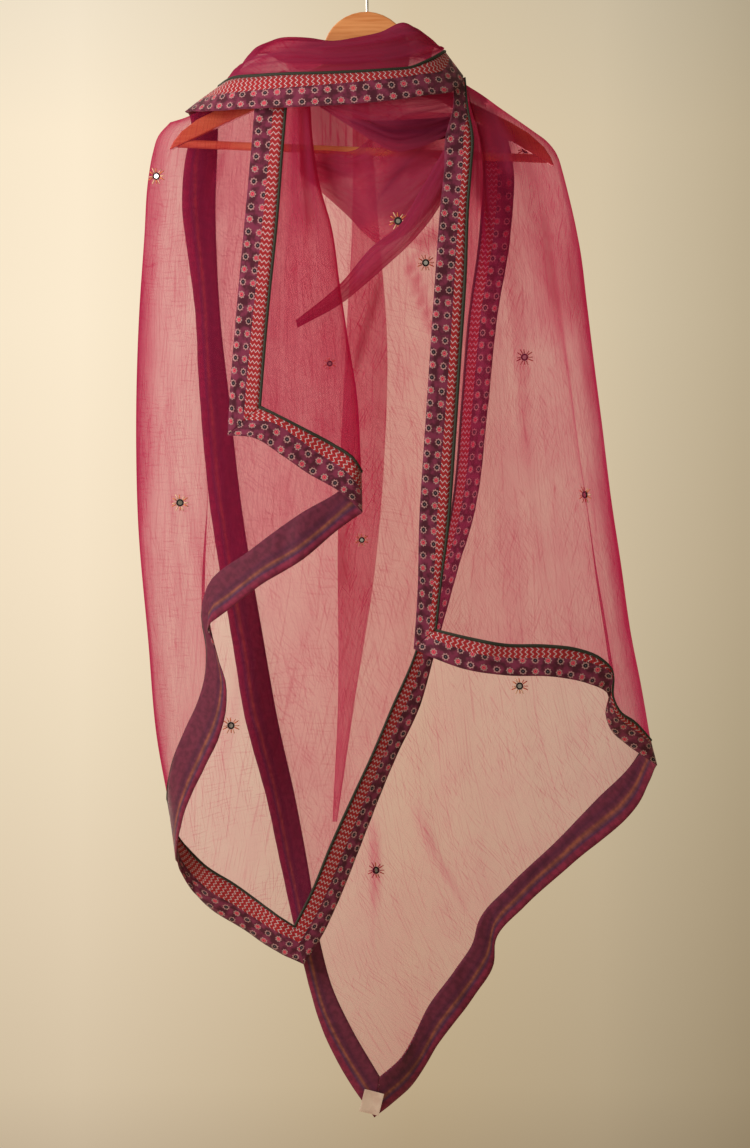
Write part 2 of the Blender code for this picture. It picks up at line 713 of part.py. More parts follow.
def cloth_grids():
    """Every stretch of cloth and trim, as its middle surface and the finish it has."""
    grids = {name: (panel_grid(panel), "sheer cloth") for name, panel in PANELS.items()}
    for name, band in BANDS.items():
        panel = PANELS[band.panel]
        shares = shares_of(panel.folds) if band.side == "bottom" else panel.rows
        seam_line = grids[band.panel][0][SIDES[band.side]]
        reach = along(band.outer, shares) - along(band.piping, shares)
        grids.update(band_grids(name, seam_line + reach, seam_line))
    collar_lines = (along(rail, COLLAR_SHARES) for rail in (COLLAR_EDGE, COLLAR_PIPING))
    grids.update(band_grids("collar", *collar_lines))
    gather_lines = (along(rail, GATHER_SHARES) for rail in (NECK_GATHER_EDGE, NECK_GATHER_TOP))
    grids.update(band_grids("neck_gather", *gather_lines))
    collar = refine(loft((COLLAR_PIPING, COLLAR_BELLY, COLLAR_RIDGE, COLLAR_INSIDE), COLLAR_SHARES), 2)
    grids["collar_cloth"] = (collar, "sheer cloth")
    back = loft((NECK_BACK_OUTSIDE, NECK_BACK_RIDGE, NECK_BACK_INSIDE), evenly(0.0, 1.0, 10))
    grids["neck_back"] = (refine(back, 2), "sheer cloth")
    inner = loft((NECK_INNER_TOP, NECK_INNER_EDGE), evenly(0.0, 1.0, 9))
    grids["neck_inner"] = (refine(inner, 3), "sheer cloth")
    grids["chest_swag"] = (refine(loft((SWAG_TOP, SWAG_EDGE), evenly(0.0, 1.0, 9)), 4), "sheer cloth")
    swag = bulged(SWAG_FOLD_UPPER, SWAG_FOLD_LOWER, evenly(0.0, 1.0, 11), 0.7)
    grids["swag_fold"] = (swag, "sheer cloth")
    pleat = bulged(BACK_PLEAT_LEFT, BACK_PLEAT_RIGHT, evenly(0.0, 1.0, 12), -0.3)
    grids["back_pleat"] = (pleat, "sheer cloth")
    return grids


def facet_normals(grid):
    """The normal at each point of a grid, summed over the facets that meet there."""
    falling = grid[1:, 1:] - grid[:-1, :-1]
    rising = grid[:-1, 1:] - grid[1:, :-1]
    facets = np.cross(falling, rising)
    facets /= np.linalg.norm(facets, axis=2, keepdims=True)
    normals = np.zeros_like(grid)
    for corner in (np.s_[:-1, :-1], np.s_[:-1, 1:], np.s_[1:, :-1], np.s_[1:, 1:]):
        normals[corner] += facets
    return normals / np.linalg.norm(normals, axis=2, keepdims=True)


def key_of(point):
    """A point as a key, the same for pieces that meet there."""
    return tuple(np.round(point, 3))


def shared_normals(grids):
    """For each place, the mean normal of the stretches that meet there, so that walls end alike."""
    meeting = {}
    for grid, _ in grids.values():
        normals = facet_normals(grid)
        for point, normal in zip(grid.reshape(-1, 3), normals.reshape(-1, 3)):
            known = meeting.get(key_of(point))
            if known is None:
                meeting[key_of(point)] = normal
            elif np.dot(known, normal) < 0:
                meeting[key_of(point)] = known - normal
            else:
                meeting[key_of(point)] = known + normal
    return {key: total / np.linalg.norm(total) for key, total in meeting.items()}


def drawn_in(grid):
    """The grid with its four sides moved in by half the gap at a seam."""
    moved = grid.copy()
    half = SEAM_GAP / 2
    for line_of in (lambda g, i: g[i], lambda g, i: g[:, i]):
        for side, inner in ((0, 1), (-1, -2)):
            step = line_of(grid, inner) - line_of(grid, side)
            length = np.linalg.norm(step, axis=1, keepdims=True)
            line_of(moved, side)[:] += step / length * half
    return moved


def halves(i, j, rows, columns):
    """The two triangles of a facet, cut so that each corner of the grid lies in both of its own."""
    near, beside, below, far = (i, j), (i, j + 1), (i + 1, j), (i + 1, j + 1)
    if (2 * i + 2 > rows) == (2 * j + 2 > columns):
        return (near, beside, far), (near, far, below)
    return (near, beside, below), (beside, far, below)


def wall_object(name, grid, normals, material):
    """A closed wall of cloth on both sides of a grid."""
    own = facet_normals(grid)
    towards = np.array([[normals[key_of(point)] for point in row] for row in grid])
    towards *= np.where((own * towards).sum(axis=2) < 0, -1, 1)[:, :, None]
    middle = drawn_in(grid)
    mesh = bmesh.new()
    sides = []
    for sign in (-1, 1):
        places = (middle + sign * WALL / 2 * towards) * CM
        sides.append([[mesh.verts.new(place) for place in row] for row in places])
    rows, columns = grid.shape[:2]
    for side in sides:
        for i in range(rows - 1):
            for j in range(columns - 1):
                for corners in halves(i, j, rows, columns):
                    mesh.faces.new([side[a][b] for a, b in corners])
    loop = [(0, j) for j in range(columns)]
    loop += [(i, columns - 1) for i in range(1, rows)]
    loop += [(rows - 1, j) for j in range(columns - 2, -1, -1)]
    loop += [(i, 0) for i in range(rows - 2, 0, -1)]
    front, back = sides
    for (a, b), (c, d) in zip(loop, loop[1:] + loop[:1]):
        mesh.faces.new((front[a][b], front[c][d], back[c][d], back[a][b]))
    bmesh.ops.triangulate(mesh, faces=mesh.faces[:])
    bmesh.ops.recalc_face_normals(mesh, faces=mesh.faces[:])
    return add_object(name, mesh, material)


def add_object(name, mesh, material):
    """An object of this name from a finished bmesh."""
    data = bpy.data.meshes.new(name)
    mesh.to_mesh(data)
    mesh.free()
    data.materials.append(material)
    thing = bpy.data.objects.new(name, data)
    bpy.context.scene.collection.objects.link(thing)
    return thing


def make_material(name, colour, roughness, metallic=0.0):
    """A plain Principled material."""
    material = bpy.data.materials.new(name)
    material.use_nodes = True
    shader = material.node_tree.nodes["Principled BSDF"]
    shader.inputs["Base Color"].default_value = (*colour, 1.0)
    shader.inputs["Roughness"].default_value = roughness
    shader.inputs["Metallic"].default_value = metallic
    return material


def board_outline():
    """The outline of the hanger's board, round from the right of its head."""
    left_end = math.pi - HEAD_END_ANGLE
    head = []
    for i in range(HEAD_STEPS + 1):
        angle = HEAD_END_ANGLE + (left_end - HEAD_END_ANGLE) * i / HEAD_STEPS
        head.append((HEAD_RADIUS * math.cos(angle), HEAD_RADIUS * math.sin(angle)))
    left_arm = [(-x, z) for x, z in ARM_OUTLINE]
    return head + left_arm + list(reversed(ARM_OUTLINE))


def make_board(material):
    """The board: an outline drawn through its thickness in short lengths, with its edges bevelled."""
    mesh = bmesh.new()
    outline = [mesh.verts.new((x * CM, -BOARD_THICKNESS / 2 * CM, z * CM)) for x, z in board_outline()]
    face = mesh.faces.new(outline)
    drawn = bmesh.ops.extrude_face_region(mesh, geom=[face])
    moved = [item for item in drawn["geom"] if isinstance(item, bmesh.types.BMVert)]
    bmesh.ops.translate(mesh, verts=moved, vec=(0, BOARD_THICKNESS * CM, 0))
    for across in BOARD_CUTS:
        geometry = mesh.verts[:] + mesh.edges[:] + mesh.faces[:]
        bmesh.ops.bisect_plane(mesh, geom=geometry, plane_co=(across * CM, 0, 0), plane_no=(1, 0, 0))
    bmesh.ops.recalc_face_normals(mesh, faces=mesh.faces[:])
    board = add_object("hanger_board", mesh, material)
    bevel = board.modifiers.new("rounded edges", "BEVEL")
    bevel.width = BOARD_BEVEL * CM
    bevel.segments = 2
    bevel.limit_method = "ANGLE"
    return board


def make_bar(material):
    """The bar, with each end cut to lie under the slope of its arm."""
    mesh = bmesh.new()
    radius = BAR_RADIUS * CM
    bmesh.ops.create_cone(
        mesh, cap_ends=True, segments=16, radius1=radius, radius2=radius, depth=BAR_UNCUT * CM
    )
    for vertex in mesh.verts:
        x, y, z = vertex.co
        vertex.co = (z, y, -x + BAR_HEIGHT * CM)
    start_x, start_z = ARM_UNDERSIDE_START
    end_x, end_z = ARM_UNDERSIDE_END
    for side in (-1, 1):
        bmesh.ops.bisect_plane(
            mesh,
            geom=mesh.verts[:] + mesh.edges[:] + mesh.faces[:],
            plane_co=(side * start_x * CM, 0, (start_z - SEAM_GAP) * CM),
            plane_no=(side * (start_z - end_z), 0, end_x - start_x),
            clear_outer=True,
        )
        bmesh.ops.holes_fill(mesh, edges=mesh.edges[:])
    bmesh.ops.recalc_face_normals(mesh, faces=mesh.faces[:])
    return add_object("hanger_bar", mesh, material)


def make_hook(material):
    """The wire: a shank out of the head, swung out and over into a round hook."""
    centre_z = WIRE_RADIUS - HOOK_RADIUS
    points = [(0.0, WIRE_BOTTOM), (0.0, (WIRE_BOTTOM + SHANK_TOP) / 2), (0.0, SHANK_TOP)]
    for i in range(HOOK_STEPS + 1):
        angle = HOOK_START_ANGLE + HOOK_SWEEP * i / HOOK_STEPS
        points.append((HOOK_RADIUS * math.cos(angle), centre_z + HOOK_RADIUS * math.sin(angle)))
    curve = bpy.data.curves.new("hanger_hook", "CURVE")
    curve.dimensions = "3D"
    curve.bevel_depth = WIRE_RADIUS * CM
    curve.bevel_resolution = 2
    curve.use_fill_caps = True
    spline = curve.splines.new("POLY")
    smooth = along([Spot(x, 0.0, z) for x, z in points], evenly(0.0, 1.0, WIRE_STEPS))
    spline.points.add(len(smooth) - 1)
    for point, place in zip(spline.points, smooth):
        point.co = (*(place * CM), 1.0)
    curve.materials.append(material)
    hook = bpy.data.objects.new("hanger_hook", curve)
    bpy.context.scene.collection.objects.link(hook)
    return hook


def make_label(material):
    """The bare label, a little in front of the border at corner D."""
    mesh = bmesh.new()
    bmesh.ops.create_cube(mesh, size=1.0)
    for vertex in mesh.verts:
        x, y, z = vertex.co
        vertex.co = (x * LABEL_WIDTH * CM, y * WALL * CM, z * LABEL_HEIGHT * CM)
    label = add_object("label", mesh, material)
    label.location = [value * CM for value in LABEL_AT]
    label.rotation_euler = (0, LABEL_TURN, 0)
    return label


def make_hanger(wood, steel):
    """The hanger, tilted as it hangs, with its right side lower."""
    frame = bpy.data.objects.new("hanger", None)
    bpy.context.scene.collection.objects.link(frame)
    frame.location = [value * CM for value in HEAD_CENTRE]
    frame.rotation_euler = (0, HANGER_TILT, 0)
    for piece in (make_board(wood), make_bar(wood)):
        piece.parent = frame
    return make_hook(steel)


def main():
    for thing in list(bpy.data.objects):
        bpy.data.objects.remove(thing)
    finishes = {
        "sheer cloth": make_material("sheer cloth", (0.50, 0.03, 0.10), 0.7),
        "border print": make_material("border print", (0.14, 0.03, 0.07), 0.75),
        "piping": make_material("piping", (0.02, 0.03, 0.02), 0.6),
        "label": make_material("label", (0.80, 0.74, 0.68), 0.8),
    }
    wood = make_material("wood", (0.62, 0.25, 0.07), 0.45)
    steel = make_material("steel", (0.55, 0.55, 0.55), 0.3, 1.0)
    grids = cloth_grids()
    normals = shared_normals(grids)
    for name, (grid, finish) in grids.items():
        wall_object(name, grid, normals, finishes[finish])
    make_label(finishes["label"])
    make_hanger(wood, steel)


main()
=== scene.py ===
"""A dupatta stole wound twice round the neck of its wooden hanger, with its cloth, border and light.

Lengths in the tables are centimetres from the point where the hook hangs: across to the right,
depth away from the front, and height upwards.
"""

import logging
import math
from dataclasses import dataclass, field
from enum import Enum
from typing import Any, Sequence

import bmesh
import bpy
import numpy as np
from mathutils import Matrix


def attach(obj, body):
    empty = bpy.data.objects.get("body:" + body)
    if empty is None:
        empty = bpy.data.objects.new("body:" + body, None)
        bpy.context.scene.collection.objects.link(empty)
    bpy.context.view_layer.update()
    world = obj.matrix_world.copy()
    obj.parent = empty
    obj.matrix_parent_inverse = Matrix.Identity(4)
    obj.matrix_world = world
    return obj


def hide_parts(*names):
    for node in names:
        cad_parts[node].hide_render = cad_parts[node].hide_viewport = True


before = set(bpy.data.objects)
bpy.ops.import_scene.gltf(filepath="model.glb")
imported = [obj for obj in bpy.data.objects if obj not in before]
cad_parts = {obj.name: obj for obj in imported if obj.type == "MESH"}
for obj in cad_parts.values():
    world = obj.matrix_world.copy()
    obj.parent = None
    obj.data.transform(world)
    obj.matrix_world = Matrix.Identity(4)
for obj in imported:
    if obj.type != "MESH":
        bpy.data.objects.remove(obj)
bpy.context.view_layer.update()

LOG = logging.getLogger("dupatta")
CM = 0.01

Grid = np.ndarray
Spot = tuple[float, float]
Triple = tuple[float, float, float]
Stops = tuple[tuple[float, str], ...]
Faces = list[tuple[int, ...]]
Piece = bpy.types.Object
Material = bpy.types.Material
Tree = bpy.types.NodeTree
Socket = bpy.types.NodeSocket


# ---- lines and surfaces ------------------------------------------------------------------------


def smooth_path(points: np.ndarray, knots: np.ndarray, at: np.ndarray) -> np.ndarray:
    """Follows points smoothly.

    Args:
        points: the points to pass through, one a row.
        knots: how far along each of them is.
        at: how far along the wanted places are.

    Returns:
        The wanted places, one a row.
    """
    slopes = np.gradient(points, knots, axis=0)
    span = np.clip(np.searchsorted(knots, at, side="right") - 1, 0, len(knots) - 2)
    width = (knots[span + 1] - knots[span])[:, None]
    t = (at - knots[span])[:, None] / width
    start, end = points[span], points[span + 1]
    blend = t * t * (3 - 2 * t)
    leave = t * (1 - t) ** 2 * width * slopes[span]
    arrive = t * t * (t - 1) * width * slopes[span + 1]
    return start + (end - start) * blend + leave + arrive


class Rail:
    """A smooth line along an edge or fold of the cloth."""

    def __init__(self, *spots: Triple) -> None:
        """Measures the line.

        Args:
            spots: the places it passes, each an across, a depth and a height.
        """
        self.points = np.array(spots, dtype=float)
        steps = np.linalg.norm(np.diff(self.points, axis=0), axis=1)
        self.knots = np.concatenate(([0.0], np.cumsum(steps)))

    @property
    def length(self) -> float:
        """The length through the spots, in centimetres."""
        return float(self.knots[-1])

    def at(self, shares: Sequence[float]) -> np.ndarray:
        """Gives the places at these shares of the length, one a row."""
        return smooth_path(self.points, self.knots, np.array(shares) * self.length)


def shares(count: int, gather: float = 0.0) -> np.ndarray:
    """Spreads so many shares from 0 to 1, the closer together at both ends the nearer gather is to 1."""
    even = np.linspace(0.0, 1.0, count)
    return (1 - gather) * even + gather * (1 - np.cos(math.pi * even)) / 2


def ease(low: float, high: float, value: Any) -> Any:
    """Rises smoothly from 0 at low to 1 at high."""
    t = np.clip((value - low) / (high - low), 0.0, 1.0)
    return t * t * (3 - 2 * t)


def normals_of(grid: Grid) -> Grid:
    """Finds the unit normals of a grid.

    Args:
        grid: places in rows and columns.

    Returns:
        The normal at each place.
    """
    falling = grid[1:, 1:] - grid[:-1, :-1]
    rising = grid[:-1, 1:] - grid[1:, :-1]
    facets = np.cross(falling, rising)
    facets /= np.maximum(np.linalg.norm(facets, axis=2, keepdims=True), 1e-9)
    total = np.zeros_like(grid)
    for corner in (np.s_[:-1, :-1], np.s_[:-1, 1:], np.s_[1:, :-1], np.s_[1:, 1:]):
        total[corner] += facets
    return total / np.maximum(np.linalg.norm(total, axis=2, keepdims=True), 1e-9)


# ---- the cloth's edges and folds ---------------------------------------------------------------

# The left front stretch: its strip's outer and piped edges, its fold and its top under the collar.
LEFT_EDGE = Rail(
    (-12.0, -4.9, -17.0), (-12.4, -5.4, -22.0), (-13.1, -5.9, -30.0), (-14.0, -6.2, -40.0),
    (-14.7, -6.4, -49.0), (-14.9, -6.4, -53.0),
)
LEFT_PIPING = Rail(
    (-8.5, -5.3, -17.0), (-8.9, -5.8, -22.0), (-9.5, -6.2, -30.0), (-10.5, -6.5, -40.0),
    (-11.3, -6.6, -49.8),
)
LEFT_FOLD = Rail(
    (-6.1, -4.9, -17.0), (-5.8, -4.9, -21.2), (-5.0, -5.0, -26.2), (-3.8, -5.1, -30.5), (-2.9, -5.2, -36.7),
    (-2.0, -5.3, -42.7), (-1.1, -5.3, -48.3), (-0.6, -5.3, -56.6),
)
LEFT_FRONT_TOP = Rail(
    (-8.5, -5.3, -17.0), (-7.0, -5.7, -17.0), (-6.3, -5.4, -17.0), (-6.1, -4.9, -17.0),
)

# The left fall: its outline, the ridge along the hanger's arm, and the way round the neck.
LEFT_OUTLINE = Rail(
    (-21.4, 0.0, -18.7), (-22.7, 0.0, -20.2), (-23.3, 0.0, -22.1), (-23.8, 0.0, -25.0), (-24.2, 0.0, -31.0),
    (-24.8, 0.0, -40.0), (-25.1, 0.0, -54.0), (-24.9, 0.0, -62.0), (-23.8, 0.1, -75.0), (-22.8, 0.1, -86.0),
    (-21.7, 0.2, -92.1),
)
LEFT_RIDGE = Rail(
    (-21.4, 0.0, -18.7), (-19.8, 0.0, -18.2), (-16.0, 0.0, -16.1), (-12.0, 0.0, -14.3), (-9.0, 0.0, -13.0),
)
LEFT_NECK_FRONT = Rail(
    (-9.0, 0.0, -13.0), (-7.6, -2.5, -14.6), (-6.1, -4.9, -17.0),
)
LEFT_NECK_BACK = Rail(
    (-9.0, 0.0, -13.0), (-6.0, 1.9, -13.4), (0.0, 2.4, -13.8), (6.0, 2.2, -14.4), (10.0, 2.0, -16.0),
    (11.8, 2.0, -17.4),
)

# The hem from corner A to the fold, and its reverse from the fold to the outline.
A_HEM_OUTER = Rail(
    (-14.9, -6.4, -53.0), (-12.2, -6.4, -53.2), (-9.1, -6.3, -55.1), (-6.2, -6.1, -57.1),
    (-2.9, -5.9, -59.0), (-0.5, -5.3, -61.2),
)
A_HEM_PIPING = Rail(
    (-11.3, -6.6, -49.8), (-6.8, -6.5, -52.1), (-3.6, -6.2, -53.8), (-1.3, -5.9, -55.4),
    (-0.6, -5.3, -56.6),
)
A_RETURN_OUTER = Rail(
    (-20.8, 0.3, -98.9), (-20.3, -1.0, -95.8), (-19.3, -2.0, -92.5), (-17.4, -2.9, -88.5),
    (-15.9, -3.4, -85.4), (-15.1, -3.7, -79.7), (-16.2, -3.9, -76.2), (-17.1, -4.1, -73.5),
    (-15.3, -4.5, -72.0), (-11.7, -5.1, -69.2), (-6.8, -5.4, -66.2), (-2.9, -5.3, -62.9),
    (-0.5, -5.3, -61.2),
)
A_RETURN_PIPING = Rail(
    (-21.7, 0.2, -92.1), (-21.5, -0.5, -90.2), (-21.0, -0.9, -88.0), (-19.6, -1.5, -84.5),
    (-18.2, -2.0, -81.5), (-17.4, -2.3, -78.4), (-17.3, -2.5, -75.4), (-17.8, -2.8, -72.0),
    (-17.1, -3.1, -69.0), (-12.6, -3.9, -65.3), (-6.8, -4.3, -61.1), (-2.9, -4.7, -58.8),
    (-0.6, -5.3, -56.6),
)

# The hem near corner C and the long edge that rises from it.
C_HEM_OUTER = Rail(
    (-20.8, 0.3, -98.9), (-20.2, 1.6, -100.8), (-19.0, 2.6, -102.8), (-16.8, 3.1, -104.9),
    (-14.3, 3.1, -106.4), (-10.7, 2.6, -108.7), (-6.9, 2.2, -110.5),
)
C_HEM_PIPING = Rail(
    (-21.7, 0.2, -92.1), (-21.0, 0.7, -95.6), (-18.2, 1.1, -99.2), (-14.3, 1.5, -101.8),
    (-10.7, 1.9, -104.4), (-8.0, 2.2, -106.2),
)
C_EDGE_OUTER = Rail(
    (15.0, 1.6, -18.9), (15.9, 0.8, -23.0), (15.7, 0.8, -30.2), (14.1, 0.9, -40.4), (13.2, 1.0, -49.3),
    (11.5, 1.1, -62.0), (10.1, 1.2, -66.6), (8.9, 2.8, -71.1), (7.3, 3.5, -77.0), (5.8, 3.8, -82.3),
    (3.0, 3.9, -88.3), (0.3, 3.8, -95.0), (-2.9, 3.4, -103.1), (-4.7, 2.9, -107.0), (-6.9, 2.2, -110.5),
)
C_EDGE_PIPING = Rail(
    (11.8, 2.0, -17.4), (12.6, 2.2, -23.0), (12.3, 2.4, -30.2), (11.0, 2.6, -40.4), (10.3, 2.8, -49.3),
    (9.0, 2.9, -62.0), (7.9, 2.9, -66.6), (6.6, 2.9, -71.1), (5.3, 2.8, -76.2), (2.6, 2.7, -82.5),
    (0.5, 2.6, -87.5), (-1.6, 2.5, -92.0), (-4.1, 2.4, -97.5), (-6.1, 2.3, -102.4), (-8.0, 2.2, -106.2),
)

# The right front stretch: its strip, its outline, and its top along the hanger and round the neck.
RIGHT_EDGE = Rail(
    (9.4, -3.8, -14.4), (9.2, -4.8, -18.0), (8.4, -5.3, -21.0), (8.3, -5.5, -24.1), (7.9, -5.8, -28.0),
    (7.3, -6.1, -36.0), (6.7, -6.3, -45.0), (6.1, -6.5, -54.0), (5.6, -6.6, -62.0), (5.4, -6.7, -70.0),
    (5.0, -6.8, -75.8),
)
RIGHT_PIPING = Rail(
    (10.6, -2.0, -14.1), (10.9, -3.6, -17.4), (11.5, -4.8, -21.0), (11.3, -5.3, -24.1), (11.0, -5.6, -28.0),
    (10.7, -5.9, -36.0), (10.1, -6.2, -45.0), (9.5, -6.4, -54.0), (8.9, -6.6, -62.0), (7.9, -6.7, -70.0),
    (7.5, -6.8, -73.7),
)
RIGHT_OUTLINE = Rail(
    (21.1, 0.0, -23.9), (22.0, 0.0, -27.2), (23.2, 0.0, -32.7), (23.9, 0.0, -38.3), (24.7, 0.0, -44.9),
    (25.5, 0.0, -51.1), (26.6, 0.0, -60.0), (27.6, 0.0, -66.6), (28.7, 0.0, -74.3), (29.8, 0.0, -79.9),
    (30.8, 0.0, -85.7),
)
RIGHT_RIDGE = Rail(
    (10.7, 1.2, -14.4), (12.6, 0.5, -15.7), (14.3, 0.1, -17.0), (16.0, 0.0, -18.2), (18.0, 0.0, -19.6),
    (19.7, 0.0, -20.9), (20.6, 0.0, -22.1), (21.1, 0.0, -23.9),
)
RIGHT_NECK_FRONT = Rail(
    (10.6, -2.0, -14.1), (10.7, -0.8, -14.1), (10.7, 1.2, -14.4),
)
NECK_BACK_LINE = Rail(
    (-15.9, 0.2, -14.6), (-13.4, 1.0, -12.6), (-11.0, 2.2, -11.2), (-7.0, 4.2, -10.8), (-2.0, 5.2, -10.7),
    (3.0, 5.2, -10.6), (7.0, 4.2, -11.2), (9.4, 2.8, -12.6), (10.7, 1.2, -14.4),
)

# The hem from corner B to its fold, and its reverse from there to corner D.
B_HEM_OUTER = Rail(
    (5.0, -6.8, -75.8), (7.2, -6.9, -76.8), (10.3, -6.8, -77.9), (14.7, -6.4, -78.6), (20.2, -5.6, -78.8),
    (23.6, -5.0, -79.5), (25.8, -3.8, -80.6), (25.7, -2.0, -83.0), (26.6, -0.9, -85.0), (27.8, -0.4, -86.0),
    (31.5, 0.0, -88.6),
)
B_HEM_PIPING = Rail(
    (7.5, -6.8, -73.7), (11.4, -6.8, -74.6), (14.7, -6.5, -75.2), (19.1, -5.9, -75.3), (22.5, -5.4, -75.7),
    (24.9, -4.9, -76.6), (26.3, -4.4, -77.9), (26.5, -3.4, -81.0), (27.4, -2.6, -82.6), (28.9, -1.6, -83.6),
    (30.8, 0.0, -85.7),
)
D_HEM_OUTER = Rail(
    (0.8, 5.6, -127.7), (2.0, 5.6, -126.8), (4.9, 5.7, -124.5), (8.0, 5.7, -119.8), (12.2, 5.8, -114.2),
    (14.0, 5.7, -111.3), (14.3, 5.4, -108.3), (17.4, 4.6, -104.6), (22.4, 3.4, -100.0), (30.2, 1.2, -92.3),
    (31.5, 0.0, -88.6),
)
D_HEM_PIPING = Rail(
    (1.4, 5.5, -123.2), (3.6, 5.5, -121.4), (7.0, 5.5, -115.4), (9.8, 5.5, -111.6), (11.7, 5.4, -108.7),
    (12.3, 5.2, -106.4), (15.7, 4.6, -102.3), (20.9, 3.6, -97.3), (25.5, 2.6, -92.4), (28.8, 1.5, -89.0),
    (30.8, 0.0, -85.7),
)

# The long edge that rises from corner D behind everything else.
D_EDGE_OUTER = Rail(
    (-19.8, 0.2, -17.5), (-19.4, 1.6, -17.7), (-19.2, 2.8, -19.2), (-19.8, 3.2, -21.7), (-20.3, 3.8, -27.4),
    (-19.8, 4.4, -32.0), (-19.0, 5.0, -38.0), (-18.5, 5.4, -47.2), (-17.3, 5.7, -60.4), (-14.9, 6.0, -75.0),
    (-13.4, 6.1, -84.0), (-11.1, 6.1, -92.5), (-9.5, 6.0, -100.0), (-7.1, 5.9, -110.5), (-4.7, 5.8, -118.6),
    (-2.1, 5.7, -123.6), (0.8, 5.6, -127.7),
)
D_EDGE_PIPING = Rail(
    (-15.9, 0.2, -14.6), (-16.0, 1.5, -14.9), (-16.2, 2.7, -16.8), (-16.4, 3.0, -21.7), (-16.6, 3.2, -27.4),
    (-16.5, 3.5, -33.0), (-16.1, 3.8, -40.0), (-15.2, 4.0, -48.0), (-13.8, 4.2, -60.4), (-11.4, 4.5, -75.0),
    (-9.8, 4.6, -84.0), (-7.9, 4.8, -92.5), (-6.5, 5.0, -100.0), (-5.1, 5.2, -108.7), (-3.8, 5.3, -113.4),
    (-1.8, 5.4, -117.7), (1.4, 5.5, -123.2),
)

# The collar: its border, and the cloth that rolls over the front of the neck.
COLLAR_EDGE = Rail(
    (-19.8, 0.2, -17.5), (-16.5, -3.6, -17.9), (-12.3, -6.2, -18.0), (-8.8, -7.3, -18.0),
    (-4.8, -7.8, -17.9), (-0.3, -7.9, -17.6), (3.9, -7.4, -17.1), (6.4, -6.6, -16.6), (9.3, -4.8, -15.9),
    (10.4, -2.2, -14.0), (9.9, 0.3, -13.4),
)
COLLAR_PIPING = Rail(
    (-15.9, 0.2, -14.6), (-14.4, -2.8, -14.1), (-11.5, -5.0, -14.1), (-8.2, -6.4, -14.1),
    (-4.8, -7.0, -14.1), (-1.8, -7.1, -14.0), (2.3, -6.7, -13.7), (4.6, -6.0, -13.4), (6.5, -5.0, -12.5),
    (8.2, -2.2, -11.2), (8.4, 0.2, -10.9),
)
COLLAR_BELLY = Rail(
    (-14.2, 0.1, -13.3), (-13.0, -2.8, -12.2), (-9.5, -5.2, -11.6), (-5.0, -6.2, -11.6),
    (-1.0, -6.3, -11.4), (3.0, -5.6, -10.7), (5.5, -4.4, -10.0), (7.0, -2.6, -10.4), (8.0, 0.0, -10.6),
)
COLLAR_RIDGE = Rail(
    (-12.6, 0.1, -11.7), (-11.1, -1.8, -10.5), (-9.6, -2.8, -10.0), (-6.1, -3.6, -10.1),
    (-3.8, -3.7, -10.4), (-1.1, -3.6, -10.0), (1.4, -3.2, -9.4), (4.0, -2.5, -8.3), (5.6, -1.8, -9.1),
    (6.8, -1.2, -10.0), (7.4, -0.2, -10.6),
)
COLLAR_INSIDE = Rail(
    (-10.9, 0.1, -11.0), (-9.4, -1.1, -12.2), (-5.0, -1.7, -12.6), (-1.0, -1.8, -12.6), (3.0, -1.7, -12.0),
    (5.6, -1.1, -11.8), (6.8, -0.2, -12.0),
)

# The second pass behind the neck.
NECK_BACK_OUTSIDE = Rail(
    (-8.4, 1.6, -13.0), (-5.0, 3.4, -13.0), (0.0, 4.1, -13.0), (4.4, 3.6, -13.2),
)
NECK_BACK_RIDGE = Rail(
    (-9.0, 1.2, -11.6), (-5.4, 2.8, -10.9), (0.0, 3.4, -10.8), (4.6, 2.9, -10.6),
)
NECK_BACK_INSIDE = Rail(
    (-7.6, 1.1, -12.8), (-4.8, 1.9, -12.6), (0.0, 2.3, -12.6), (4.0, 2.0, -12.8),
)

# The fold and the gathered band under the collar.
NECK_INNER_TOP = Rail(
    (-6.2, -5.9, -16.2), (0.0, -6.6, -15.8), (5.0, -5.8, -15.4), (9.6, -3.0, -15.0),
)
NECK_INNER_EDGE = Rail(
    (-5.4, -6.4, -17.6), (-2.3, -6.3, -19.6), (0.2, -6.3, -21.2), (3.0, -6.1, -22.6), (5.6, -5.6, -22.1),
    (9.0, -4.2, -20.4),
)
NECK_GATHER_TOP = Rail(
    (-2.0, -5.2, -19.0), (2.0, -5.4, -19.2), (5.0, -5.0, -19.0), (9.2, -3.2, -18.5),
)
NECK_GATHER_EDGE = Rail(
    (-1.0, -5.2, -20.2), (2.1, -5.5, -21.4), (5.0, -5.1, -21.6), (8.8, -3.5, -20.8),
)

# The cowl across the chest and its rolled lower fold.
SWAG_TOP = Rail(
    (-7.2, -3.0, -22.0), (-4.6, -3.2, -22.1), (-1.2, -3.9, -22.1), (0.9, -4.2, -20.4), (4.0, -4.2, -18.4),
    (9.3, -2.6, -18.0),
)
SWAG_EDGE = Rail(
    (-7.2, -3.0, -24.6), (-4.6, -3.2, -26.9), (-1.9, -3.7, -29.4), (-0.2, -3.9, -31.2), (1.5, -4.1, -32.4),
    (4.0, -4.1, -31.4), (6.5, -3.9, -29.0), (8.8, -3.4, -26.2),
)
SWAG_FOLD_UPPER = Rail(
    (-7.7, -2.4, -40.4), (-2.9, -3.1, -36.5), (0.7, -4.7, -32.5), (3.4, -4.6, -30.4), (5.5, -4.5, -27.0),
    (8.7, -4.3, -21.4),
)
SWAG_FOLD_LOWER = Rail(
    (-7.5, -2.4, -41.2), (-2.7, -3.3, -38.6), (0.0, -4.3, -36.5), (2.2, -4.9, -34.6), (4.2, -5.1, -32.8),
    (6.6, -4.9, -30.1), (8.5, -4.3, -27.2),
)

